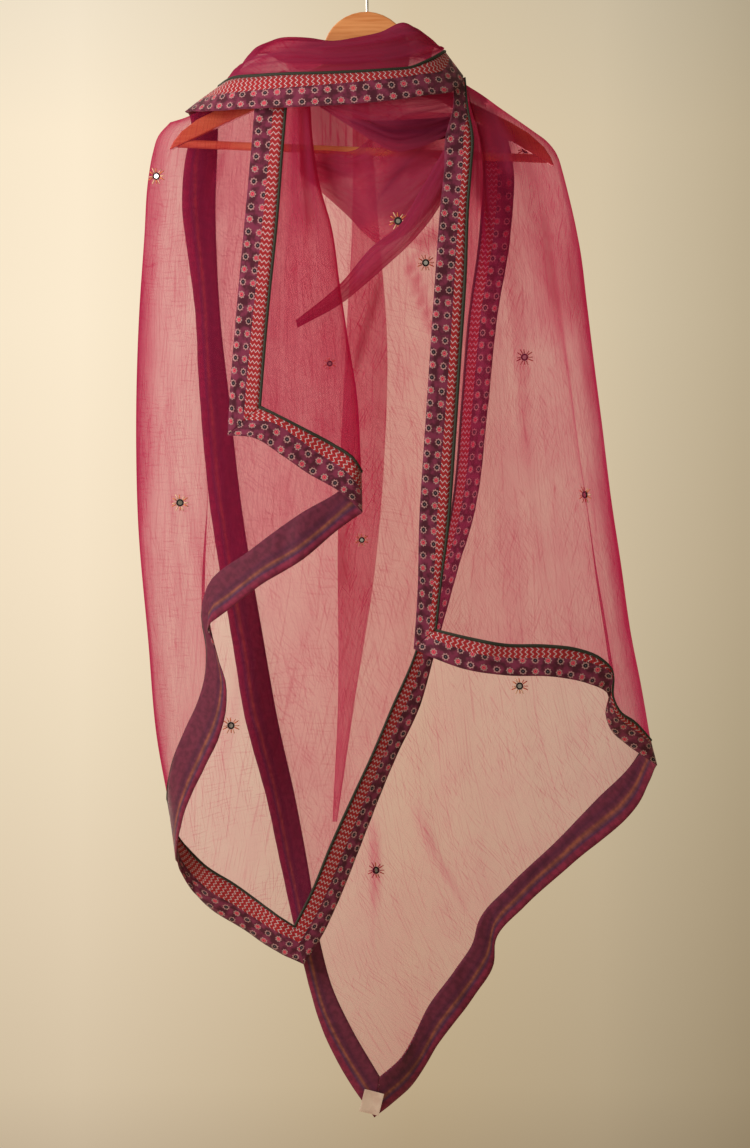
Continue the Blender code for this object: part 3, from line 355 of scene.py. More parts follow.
# The long pleat down the middle of the back.
BACK_PLEAT_LEFT = Rail(
    (-1.6, 3.6, -16.0), (-1.6, 4.0, -28.0), (-2.3, 4.0, -42.0), (-3.2, 4.0, -63.0), (-3.2, 3.9, -82.0),
    (-3.8, 3.8, -95.0),
)
BACK_PLEAT_RIGHT = Rail(
    (0.2, 3.6, -16.0), (1.3, 4.0, -30.0), (2.2, 4.0, -42.0), (1.9, 4.0, -55.0), (0.9, 4.0, -67.0),
    (-1.4, 3.9, -82.0), (-3.3, 3.8, -95.0),
)


# ---- finishes ----------------------------------------------------------------------------------


def linear(colour: str) -> tuple[float, float, float, float]:
    """Turns an sRGB hex colour into linear light.

    Args:
        colour: six hex digits, such as "a03050".

    Returns:
        Linear red, green and blue, and an alpha of 1.
    """
    parts = [int(colour[i : i + 2], 16) / 255 for i in (0, 2, 4)]
    red, green, blue = (p / 12.92 if p <= 0.04045 else ((p + 0.055) / 1.055) ** 2.4 for p in parts)
    return red, green, blue, 1.0


# The kinds of node in use beside plain maths. Each has its type, the inputs that its values feed in turn,
# the output that is taken, and its settings.
KINDS: dict[str, tuple[str, tuple[int | str, ...], int | str, dict[str, str]]] = {
    "EASE": ("MapRange", (0, 1, 2, 3, 4), 0, {"interpolation_type": "SMOOTHSTEP"}),
    "SPAN": ("MapRange", (0, 1, 2, 3), 0, {}),
    "PAINT": ("Mix", (0, 6, 7), 2, {"data_type": "RGBA"}),
    "TINT": ("Mix", (0, 6, 7), 2, {"data_type": "RGBA", "blend_type": "MULTIPLY"}),
    "RAMP": ("ValToRGB", (0,), 0, {}),
    "OBJECT": ("TexCoord", (), "Object", {}),
    "WAY": ("TexCoord", (), "Generated", {}),
    "UV": ("UVMap", (), 0, {}),
    "ATTRIBUTE": ("Attribute", (), "Fac", {}),
    "PARTS": ("SeparateXYZ", (0,), 0, {}),
    "TURN": ("Mapping", ("Vector", "Rotation"), 0, {}),
    "LAY": ("Mapping", ("Vector", "Rotation", "Scale"), 0, {"vector_type": "TEXTURE"}),
    "NOISE": ("TexNoise", ("Vector", "Scale", "Detail"), 0, {}),
    "WAVE": ("TexWave", ("Vector", "Scale", "Distortion", "Detail"), "Fac", {}),
    "FACING": ("LayerWeight", ("Blend",), "Facing", {}),
    "BUMP": ("Bump", ("Strength", "Distance", "Height"), 0, {}),
    "MATT": ("BsdfDiffuse", ("Color", "Roughness"), 0, {}),
    "GLOW": ("BsdfTranslucent", ("Color",), 0, {}),
    "CLEAR": ("BsdfTransparent", ("Color",), 0, {}),
    "SHADER": ("BsdfPrincipled", (), 0, {}),
    "BLEND": ("MixShader", (0, 1, 2), 0, {}),
    "BACKGROUND": ("Background", ("Color", "Strength"), 0, {}),
    "SURFACE": ("OutputMaterial", ("Surface",), 0, {}),
    "WORLD": ("OutputWorld", ("Surface",), 0, {}),
}


def add_node(tree: Tree, kind: str, *values: Any, stops: Stops = (), **settings: Any) -> Socket | None:
    """Adds a node with its settings and links.

    Args:
        tree: the tree it goes in.
        kind: a name in the table above, or else a maths operation.
        values: for each of its inputs in turn, a value or the socket that feeds it.
        stops: the colours of a run, each with its place from 0 to 1.
        settings: its attributes, and its inputs with _ where their names have a space.

    Returns:
        The output that is taken, if the node has any.
    """
    form, inputs, output, fixed = KINDS.get(kind, ("Math", (0, 1), 0, {"operation": kind}))
    node = tree.nodes.new("ShaderNode" + form)
    fed = dict(zip(inputs, values))
    for name, value in {**fixed, **settings}.items():
        if hasattr(node, name):
            setattr(node, name, value)
        else:
            fed[name.replace("_", " ")] = value
    for key, value in fed.items():
        if isinstance(value, Socket):
            tree.links.new(value, node.inputs[key])
        else:
            node.inputs[key].default_value = value
    if stops:
        elements = node.color_ramp.elements
        while len(elements) < len(stops):
            elements.new(0.5)
        for element, (place, colour) in zip(elements, stops):
            element.position = place
            element.color = linear(colour)
    return node.outputs[output] if node.outputs else None


class Weaver:
    """Draws patterns in one material's node tree."""

    def __init__(self, name: str) -> None:
        """Makes an empty material.

        Args:
            name: its name.
        """
        self.material = bpy.data.materials.new(name)
        self.material.use_nodes = True
        self.tree = self.material.node_tree
        self.tree.nodes.clear()

    def add(self, kind: str, *values: Any, **settings: Any) -> Socket:
        """Adds a node to the tree."""
        return add_node(self.tree, kind, *values, **settings)

    def places(self, name: str) -> tuple[Socket, Socket, Socket]:
        """Reads a UV map, in centimetres.

        Args:
            name: its name.

        Returns:
            The map whole, and its two parts.
        """
        uv = self.add("UV", uv_map=name)
        parts = self.add("PARTS", uv).node.outputs
        return uv, parts[0], parts[1]

    def cloud(self, where: Socket, rate: Triple, detail: float = 2.0, turn: float = 0.0) -> Socket:
        """Draws soft blots, mostly from 0.3 to 0.7, so many to a unit each way, and leaning by turn."""
        laid = self.add("LAY", where, (0.0, 0.0, turn), tuple(1.0 / each for each in rate))
        return self.add("NOISE", laid, 1.0, detail)

    def finish(self, shader: Socket) -> Material:
        """Puts the shader on the surface."""
        self.add("SURFACE", shader)
        return self.material

    def surface(self, colour: Socket, relief: Socket, bump: Spot, **inputs: Any) -> Material:
        """Puts an opaque shader on the surface, its relief as strong and as many metres deep as bump says."""
        raised = self.add("BUMP", *bump, relief)
        return self.finish(self.add("SHADER", Base_Color=colour, Normal=raised, **inputs))


@dataclass(frozen=True)
class Crinkle:
    """Fine, nearly parallel lines in the cloth, broken up at random.

    rate is how many there are to a centimetre, length about how many centimetres each runs, and turn how
    far they lean from the lengthwise thread, in radians. thin is the share of their spacing that half a
    line takes, and kept the level of a random pattern above which a line shows.
    """

    rate: float
    length: float
    turn: float
    thin: float
    kept: float

    def draw(self, w: Weaver) -> Socket:
        """Draws the lines.

        Args:
            w: the material's weaver.

        Returns:
            1 on the lines and 0 between them.
        """
        laid = w.add("LAY", w.places("threads")[0], (0.0, 0.0, self.turn))
        across = w.add("PARTS", laid)
        bend = w.cloud(laid, (0.5 * self.rate, 0.5 / self.length, 1.0), 1.0)
        place = w.add("ADD", w.add("MULTIPLY", across, self.rate), w.add("MULTIPLY", bend, 2.4))
        line = w.add("EASE", w.add("PINGPONG", place, 0.5), 0.0, self.thin, 1.0, 0.0)
        broken = w.cloud(laid, (0.9 * self.rate, 1.0 / self.length, 1.0), 2.0)
        return w.add("MULTIPLY", line, w.add("EASE", broken, self.kept, self.kept + 0.10))


@dataclass(frozen=True)
class SheerFinish:
    """Silk georgette, loosely woven of hard-twisted yarn and left crinkled.

    It is matt and lets through most of what is behind it, tinted. It covers more where it turns away and
    where it is gathered, because more thread lies in the way, and light from behind makes it glow.
    """

    name: str = "crinkled_silk_georgette"
    thread: str = "cc4688"
    # The crease colour is painted shade in the crinkles, darker than the thread.
    crease: str = "b03058"
    deep: str = "be4c78"
    tint: str = "e8588e"
    through: float = 0.68
    through_change: float = 0.03
    crinkle: float = 0.19
    glow: tuple[float, float] = (0.78, 0.6)
    straight: tuple[float, float] = (0.52, 0.08)
    gathered: tuple[float, float] = (1.8, 5.6)
    least_facing: float = 0.36
    # The glow's colour by the layers, darker the more there are: partly real absorption in thick cloth,
    # partly painted shade for the shaded folds about the neck.
    depths: Stops = (
        (0.16, "cc4688"), (0.36, "b8345e"), (0.6, "9c2248"), (1.0, "5c1430"),
    )
    hanging: Crinkle = Crinkle(2.3, 6.0, 0.05, 0.20, 0.46)
    leaning: Crinkle = Crinkle(3.4, 3.2, 0.42, 0.24, 0.46)
    crossing: Crinkle = Crinkle(3.4, 2.4, -0.80, 0.24, 0.48)

    def creases(self, w: Weaver) -> Socket:
        """Draws the crinkles, the slanting ones in denser and barer patches.

        Args:
            w: the material's weaver.

        Returns:
            0 between them, and up to about 2 where they cross.
        """
        hanging = w.add("MULTIPLY", self.hanging.draw(w), 0.75)
        crossing = w.add("MULTIPLY", self.crossing.draw(w), 0.7)
        cloud = w.cloud(w.places("threads")[0], (0.16, 0.12, 1.0), 2.0, 0.3)
        patches = w.add("EASE", cloud, 0.36, 0.60, 0.25, 1.0)
        slanting = w.add("MULTIPLY", w.add("ADD", self.leaning.draw(w), crossing), patches)
        return w.add("ADD", hanging, slanting)

    def cover(self, w: Weaver, creases: Socket, layers: Socket) -> Socket:
        """Works out how much of each place is thread.

        Args:
            w: the material's weaver.
            creases: how creased the cloth is.
            layers: how many layers of it lie there.

        Returns:
            The share that isn't gap.
        """
        cloud = w.cloud(w.places("threads")[0], (0.10, 0.16, 1.0), 2.0)
        thinner, thicker = self.through - self.through_change, self.through + self.through_change
        gap = w.add("EASE", cloud, 0.3, 0.7, thinner, thicker)
        gap = w.add("SUBTRACT", gap, w.add("MULTIPLY", creases, self.crinkle))
        turned = w.add("FACING", 0.5)
        facing = w.add("MAXIMUM", w.add("SUBTRACT", 1.0, turned), self.least_facing)
        return w.add("SUBTRACT", 1.0, w.add("POWER", gap, w.add("DIVIDE", layers, facing)))

    def make(self) -> Material:
        """Mixes thread with gap, by the crinkles, the gathers and the slant of the cloth, with painted shade
        in the crinkles and in the glow where many layers lie.

        Returns:
            The material.
        """
        w = Weaver(self.name)
        creases = self.creases(w)
        layers = w.add("ATTRIBUTE", attribute_name="layers")
        cover = self.cover(w, creases, layers)
        dense = w.add("EASE", layers, *self.gathered)
        # The crinkles carry more thread, which the cover counts, and painted shade in the crease colour.
        crinkle_shade = w.add("EASE", creases, 0.0, 1.6, 0.0, 0.7)
        crease = linear(self.crease)
        face = w.add("PAINT", crinkle_shade, w.add("PAINT", dense, linear(self.thread), linear(self.deep)), crease)
        # The glow darkens with the layers: real absorption in thick cloth, and painted shade where the
        # gathers about the neck lie.
        depths = w.add("RAMP", w.add("MULTIPLY", layers, 0.1), stops=self.depths)
        lit = w.add("MATT", face, 0.6)
        glow = w.add("GLOW", w.add("PAINT", crinkle_shade, depths, crease))
        cloth = w.add("BLEND", w.add("EASE", dense, 0.0, 1.0, *self.glow), lit, glow)
        straight = w.add("EASE", dense, 0.0, 1.0, *self.straight)
        body = w.add("BLEND", straight, cloth, w.add("CLEAR", linear(self.tint)))
        return w.finish(w.add("BLEND", cover, w.add("CLEAR"), body))


@dataclass(frozen=True)
class PrintFinish:
    """Block-printed cotton: a field of zigzag lines beside rows of eight-petalled flowers.

    It is matt, its plum ground is mottled, and the print is worn in places. Lengths are in centimetres.
    """

    name: str = "border_print_cotton"
    ground: str = "823052"
    shadow: str = "4e182e"
    petal: str = "c49ea0"
    coral: str = "e2506a"
    ink: str = "1c1620"
    centres: tuple[str, str] = ("6f6274", "5b2530")
    pitch: float = 1.36
    row_pitch: float = 1.28
    first_row: float = 0.52
    petals: int = 8
    petal_wave: float = 0.05
    petal_reach: float = 0.34
    petal_root: float = 0.23
    eye: float = 0.20
    centre: float = 0.055
    zigzag_start: float = 2.02
    zigzag_reach: float = 0.28
    zigzag_slope: float = 1.1
    zigzag_pitch: float = 0.60
    zigzag_lines: Stops = (
        (0.00, "f6c8d4"), (0.08, "f6c8d4"), (0.12, "22080e"), (0.22, "2a0c12"), (0.27, "d42e3a"),
        (0.42, "d42e3a"), (0.47, "26080e"), (0.57, "26080e"), (0.62, "cc2c38"), (0.78, "cc2c38"),
        (0.82, "22080e"), (0.91, "2a0c12"), (0.95, "f6c8d4"),
    )
    wander: float = 0.12

    def drift(self, w: Weaver, u: Socket) -> Socket:
        """Lets the print wander to and fro along the border."""
        turn = w.add("ADD", w.add("MULTIPLY", u, 0.11), 1.2)
        return w.add("MULTIPLY", w.add("SINE", turn), self.wander)

    def flowers(self, w: Weaver, u: Socket, v: Socket, ground: Socket) -> Socket:
        """Prints the flowers on the ground.

        Args:
            w: the material's weaver.
            u: how far along the border.
            v: how far in from its outer edge.
            ground: the colour under the flowers.

        Returns:
            The ground with its flowers.
        """
        uv = w.places("strip")[0]
        row = w.add("SUBTRACT", v, self.drift(w, u))
        row = w.add("DIVIDE", w.add("ADD", row, self.row_pitch / 2 - self.first_row), self.row_pitch)
        place = w.add("DIVIDE", u, self.pitch)
        x = w.add("MULTIPLY", w.add("SUBTRACT", w.add("FRACT", place), 0.5), self.pitch)
        y = w.add("MULTIPLY", w.add("SUBTRACT", w.add("FRACT", row), 0.5), self.row_pitch)
        wobble = w.add("MULTIPLY", w.cloud(uv, (4.0, 4.0, 1.0)), 0.10)
        far = w.add("SQRT", w.add("ADD", w.add("MULTIPLY", x, x), w.add("MULTIPLY", y, y)))
        far = w.add("ADD", far, w.add("SUBTRACT", wobble, 0.05))
        turned = w.add("MULTIPLY", w.add("ARCTAN2", y, x), float(self.petals))
        lobes = w.add("MULTIPLY", w.add("COSINE", turned), self.petal_wave)
        tips = w.add("SUBTRACT", far, lobes)
        roots = w.add("SUBTRACT", far, w.add("MULTIPLY", lobes, 0.4))
        outer = w.add("EASE", tips, self.petal_reach, self.petal_reach + 0.05, 1.0, 0.0)
        petals = w.add("MULTIPLY", outer, w.add("EASE", roots, self.petal_root, self.petal_root + 0.04))
        tile = w.add("ADD", w.add("FLOOR", place), w.add("FLOOR", row))
        red = w.add("EASE", w.add("FLOORED_MODULO", tile, 2.0), 0.4, 0.6)
        eye = w.add("PAINT", red, linear(self.ink), linear(self.coral))
        centre = w.add("PAINT", red, *(linear(colour) for colour in self.centres))
        worn = w.add("EASE", w.cloud(uv, (3.0, 3.0, 1.0), 3.0), 0.3, 0.6, 0.55, 0.95)
        shown = w.add("PAINT", w.add("MULTIPLY", petals, worn), ground, linear(self.petal))
        shown = w.add("PAINT", w.add("EASE", far, self.eye, self.eye + 0.03, 1.0, 0.0), shown, eye)
        return w.add("PAINT", w.add("EASE", far, self.centre, self.centre + 0.03, 1.0, 0.0), shown, centre)

    def zigzags(self, w: Weaver, u: Socket, v: Socket) -> Socket:
        """Draws the stacked zigzag lines that cross the field.

        Args:
            w: the material's weaver.
            u: how far along the border.
            v: how far in from its outer edge.

        Returns:
            Their colours.
        """
        wave = w.add("PINGPONG", w.add("SUBTRACT", v, self.zigzag_start), self.zigzag_reach)
        shifted = w.add("ADD", u, w.add("MULTIPLY", wave, self.zigzag_slope))
        place = w.add("FRACT", w.add("DIVIDE", shifted, self.zigzag_pitch))
        worn = w.cloud(w.places("strip")[0], (5.0, 5.0, 1.0), 2.0)
        place = w.add("ADD", place, w.add("MULTIPLY", w.add("SUBTRACT", worn, 0.5), 0.05))
        return w.add("RAMP", place, stops=self.zigzag_lines)

    def make(self) -> Material:
        """Prints the whole strip.

        Returns:
            The material.
        """
        w = Weaver(self.name)
        uv, u, v = w.places("strip")
        shade_mottle = w.add("EASE", w.cloud(uv, (0.9, 0.9, 1.0), 4.0), 0.40, 0.62)
        shown = self.flowers(w, u, v, w.add("PAINT", shade_mottle, linear(self.shadow), linear(self.ground)))
        start = w.add("ATTRIBUTE", attribute_name="field")
        inward = w.add("SUBTRACT", w.add("ADD", v, self.drift(w, u)), start)
        shown = w.add("PAINT", w.add("EASE", inward, -0.02, 0.03), shown, self.zigzags(w, u, v))
        return cotton(w, shown, 0.75)


def cotton(w: Weaver, colour: Socket, roughness: float) -> Material:
    """Gives a colour the plain weave of cotton, its threads about 0.5 mm apart, and its faint nap.

    Args:
        w: the material's weaver.
        colour: the cloth's colour.
        roughness: how matt it is.

    Returns:
        The material.
    """
    weave = w.add("NOISE", w.places("strip")[0], 18.0, 2.0)
    nap = {"Sheen_Weight": 0.15, "Specular_IOR_Level": 0.25}
    return w.surface(colour, weave, (0.25, 0.0006), Roughness=roughness, **nap)


@dataclass(frozen=True)
class ReverseFinish:
    """The back of the printed cotton, a little smoother, where the print shows through as soft stripes,
    darkened in random patches by painted shade.
    """

    name: str = "border_reverse_cotton"
    width: float = 3.3
    # Painted shade of the cloth's hollows, laid in random patches.
    hollow_shade: str = "3c1028"
    stripes: Stops = (
        (0.0, "8a2648"), (0.25, "8a284a"), (0.36, "583058"), (0.44, "744250"), (0.54, "9c5846"),
        (0.64, "6e2e48"), (0.78, "5c2242"), (1.0, "722a46"),
    )

    def make(self) -> Material:
        """Draws the stripes and their random patches of painted shade.

        Returns:
            The material.
        """
        w = Weaver(self.name)
        uv, _, v = w.places("strip")
        drift = w.add("SUBTRACT", w.cloud(uv, (0.12, 0.5, 1.0), 2.0), 0.5)
        place = w.add("ADD", w.add("DIVIDE", v, self.width), w.add("MULTIPLY", drift, 0.22))
        stripes = w.add("RAMP", place, stops=self.stripes)
        # Random patches darkened towards the hollow colour, as painted shade.
        shade_mottle = w.add("EASE", w.cloud(uv, (1.6, 0.9, 1.0), 4.0), 0.35, 0.65, 0.0, 0.45)
        return cotton(w, w.add("PAINT", shade_mottle, stripes, linear(self.hollow_shade)), 0.7)


@dataclass(frozen=True)
class ThreadFinish:
    """Twisted cotton or silk thread: matt, in one colour, with painted shade in the hollows of its twist.

    pitch is the spacing of its twist, in centimetres.
    """

    name: str
    light: str
    # The shade colour: painted shade in the hollows of the twist.
    twist_shade: str
    pitch: float = 0.12
    roughness: float = 0.7

    def make(self) -> Material:
        """Draws slanting threads, with painted shade in the hollows between them.

        Returns:
            The material.
        """
        w = Weaver(self.name)
        turned = w.add("TURN", w.add("OBJECT"), (0.5, 0.6, 0.7))
        threads = w.add("WAVE", turned, 0.3 / (self.pitch * CM), 2.0, 2.0)
        # The hollows of the twist are painted in the shade colour, over the relief of the same threads.
        colour = w.add("PAINT", threads, linear(self.twist_shade), linear(self.light))
        return w.surface(colour, threads, (0.4, 0.0004), Roughness=self.roughness)


@dataclass(frozen=True)
class WoodFinish:
    """Varnished beech: warm and softly glossy, with fine pores in its grain along the hanger."""

    name: str = "varnished_beech"
    pale: str = "f2ae70"
    deep: str = "d68648"

    def make(self) -> Material:
        """Draws the grain and its pores.

        Returns:
            The material.
        """
        w = Weaver(self.name)
        where = w.add("OBJECT")
        slow = w.cloud(where, (6.0, 30.0, 40.0), 4.0)
        fast = w.cloud(where, (25.0, 300.0, 420.0), 3.0)
        grain = w.add("ADD", w.add("MULTIPLY", slow, 0.65), w.add("MULTIPLY", fast, 0.35))
        colour = w.add("PAINT", w.add("EASE", grain, 0.38, 0.62), linear(self.deep), linear(self.pale))
        rough = w.add("EASE", fast, 0.3, 0.7, 0.34, 0.46)
        varnish = {"Coat_Weight": 0.25, "Coat_Roughness": 0.2}
        return w.surface(colour, fast, (0.1, 0.0003), Roughness=rough, **varnish)


@dataclass(frozen=True)
class MetalFinish:
    """Bare metal, such as drawn wire or a mirror's silvering: bright, with faint scratches."""

    name: str
    colour: str
    roughness: float
    scratch: str = "5a5450"

    def make(self) -> Material:
        """Varies the polish a little along the metal.

        Returns:
            The material.
        """
        w = Weaver(self.name)
        marks = w.cloud(w.add("OBJECT"), (300.0, 300.0, 40.0), 3.0)
        rough = w.add("EASE", marks, 0.3, 0.7, self.roughness * 0.8, self.roughness * 1.3)
        scratched = w.add("EASE", marks, 0.2, 0.8, 0.0, 0.3)
        shade = w.add("PAINT", scratched, linear(self.colour), linear(self.scratch))
        return w.finish(w.add("SHADER", Base_Color=shade, Roughness=rough, Metallic=1.0))


@dataclass(frozen=True)
class LabelFinish:
    """Woven satin ribbon, bare: pale, with a low gloss.

    Its ribs are about 0.8 mm apart, coarser than real ones, so that they show.
    """

    name: str = "woven_label_satin"
    clean: str = "e6d3c8"
    soiled: str = "cdb0a6"

    def make(self) -> Material:
        """Draws its fine ribs.

        Returns:
            The material.
        """
        w = Weaver(self.name)
        where = w.add("OBJECT")
        ribs = w.add("WAVE", where, 400.0, bands_direction="Z")
        soil = w.add("EASE", w.cloud(where, (90.0, 90.0, 90.0), 3.0), 0.35, 0.7, 0.0, 0.6)
        colour = w.add("PAINT", soil, linear(self.clean), linear(self.soiled))
        return w.surface(colour, ribs, (0.3, 0.0002), Roughness=0.45)


@dataclass(frozen=True)
class FloorFinish:
    """Matt plaster, pale and a little uneven."""

    name: str = "pale_floor_plaster"
    pale: str = "e6d8be"
    dull: str = "dccdb2"

    def make(self) -> Material:
        """Gives it a faint unevenness.

        Returns:
            The material.
        """
        w = Weaver(self.name)
        cloud = w.add("EASE", w.cloud(w.add("OBJECT"), (1.5, 1.5, 1.5), 3.0), 0.3, 0.7)
        plaster = w.add("PAINT", cloud, linear(self.pale), linear(self.dull))
        return w.finish(w.add("SHADER", Base_Color=plaster, Roughness=0.9))


# ---- the shapes of the cloth -------------------------------------------------------------------


class Side(Enum):
    """A side of a stretch of cloth that its border is sewn to."""

    LEFT = "left"
    RIGHT = "right"
    BOTTOM = "bottom"

    def of(self, grid: Grid) -> Grid:
        """Takes this side's line from a grid."""
        return {Side.LEFT: grid[:, 0], Side.RIGHT: grid[:, -1], Side.BOTTOM: grid[-1]}[self]

    def shares_in(self, form: "PanelForm") -> np.ndarray:
        """Gives the shares at which a panel's grid meets this side."""
        return form.column_shares if self is Side.BOTTOM else form.row_shares


def along_and_away(grid: Grid, start: Spot, end: Spot, bend: float) -> tuple[Grid, Grid, Grid]:
    """Measures a grid against a line from one spot to another, seen from the front.

    Args:
        grid: places in rows and columns.
        start: where the line starts, an across and a height.
        end: where it ends.
        bend: how far it bows to the side at its middle.

    Returns:
        For each place, how far along the line it is from 0 to 1, how far to its side, and how far past it.
    """
    first, run = np.array(start), np.array(end) - np.array(start)
    length = float(np.hypot(*run))
    offset = grid[:, :, [0, 2]] - first
    share = offset @ (run / length) / length
    inside = np.clip(share, 0.0, 1.0)
    away = offset @ np.array((run[1], -run[0])) / length - bend * np.sin(math.pi * inside)
    return inside, away, np.abs(share - inside) * length


@dataclass(frozen=True)
class Crease:
    """A soft trough or ridge between two places, each an across and a height."""

    start: Spot
    end: Spot
    width: float
    depth: float
    bend: float = 0.0
    fade: float = 0.25

    def press(self, grid: Grid) -> None:
        """Moves the cloth back by the depth along the line, or forward if the depth is negative.

        Args:
            grid: the cloth, which is changed.
        """
        inside, away, past = along_and_away(grid, self.start, self.end, self.bend)
        held = np.exp(-((away / self.width) ** 2) - (past / (2 * self.width)) ** 2)
        grid[:, :, 1] += self.depth * held * ease(0.0, self.fade, inside) * ease(0.0, self.fade, 1 - inside)


@dataclass(frozen=True)
class Gather:
    """A streak where the cloth doubles over, between two places, each an across and a height."""

    start: Spot
    end: Spot
    width: float
    layers: float
    bend: float = 0.0
    fade: float = 0.25

    def add(self, grid: Grid, layers: np.ndarray) -> None:
        """Adds its layers to those of the points near it.

        Args:
            grid: the cloth.
            layers: how many layers lie at each point, which is changed.
        """
        inside, away, past = along_and_away(grid, self.start, self.end, self.bend)
        near = np.exp(-((away / self.width) ** 2) - (past / self.width) ** 2)
        layers += self.layers * near * ease(-1e-3, self.fade, inside) * ease(-1e-3, self.fade, 1 - inside)


@dataclass(frozen=True)
class Pleats:
    """Shallow hanging folds: how many across, how deep, how far each wanders, and how many layers."""

    count: float
    depth: float
    wander: float = 0.5
    phase: float = 0.0
    layers: float = 0.0

    def turns(self, u: np.ndarray, v: np.ndarray) -> tuple[np.ndarray, np.ndarray, np.ndarray]:
        """Draws three waves of unlike pitch that wander down the cloth.

        Args:
            u: shares across the cloth.
            v: shares down it.

        Returns:
            The three waves, each from -1 to 1.
        """
        turn = 2 * math.pi * (self.count * u + self.phase)
        first = np.sin(turn + self.wander * np.sin(2.3 * v + self.phase))
        second = np.sin(1.73 * turn + 1.1 + self.wander * np.sin(3.7 * v + 2.0))
        return first, second, np.sin(2.61 * turn + 2.7 - self.wander * np.cos(5.1 * v))

    def thicken(self, u: np.ndarray, v: np.ndarray) -> np.ndarray:
        """Finds where the tops of the folds double the cloth.

        Args:
            u: shares across the cloth.
            v: shares down it.

        Returns:
            How many more layers lie there.
        """
        first, second, _ = self.turns(u, v)
        patch = 0.5 + 0.5 * np.sin(4.1 * v + 3.0 * u + 7.0 * self.phase)
        tops = (0.5 + 0.5 * first) ** 10 * (0.4 + 0.6 * patch)
        return self.layers * (tops + 0.6 * (0.5 + 0.5 * second) ** 14 * (1 - 0.6 * patch))

    def back(self, u: np.ndarray, v: np.ndarray) -> np.ndarray:
        """Gives how far back the cloth lies at these shares of its width and height."""
        first, second, third = self.turns(u, v)
        return self.depth * (0.55 * first + 0.3 * second + 0.15 * third)


@dataclass(frozen=True)
class Run:
    """Part of a stretch's top: its line, where its columns lie, and how far down it rounds.

    A positive reach is a fold, and a negative one a seam, from which the cloth rises gently.
    """

    rail: Rail
    columns: tuple[float, ...]
    shares: tuple[float, ...]
    reach: float


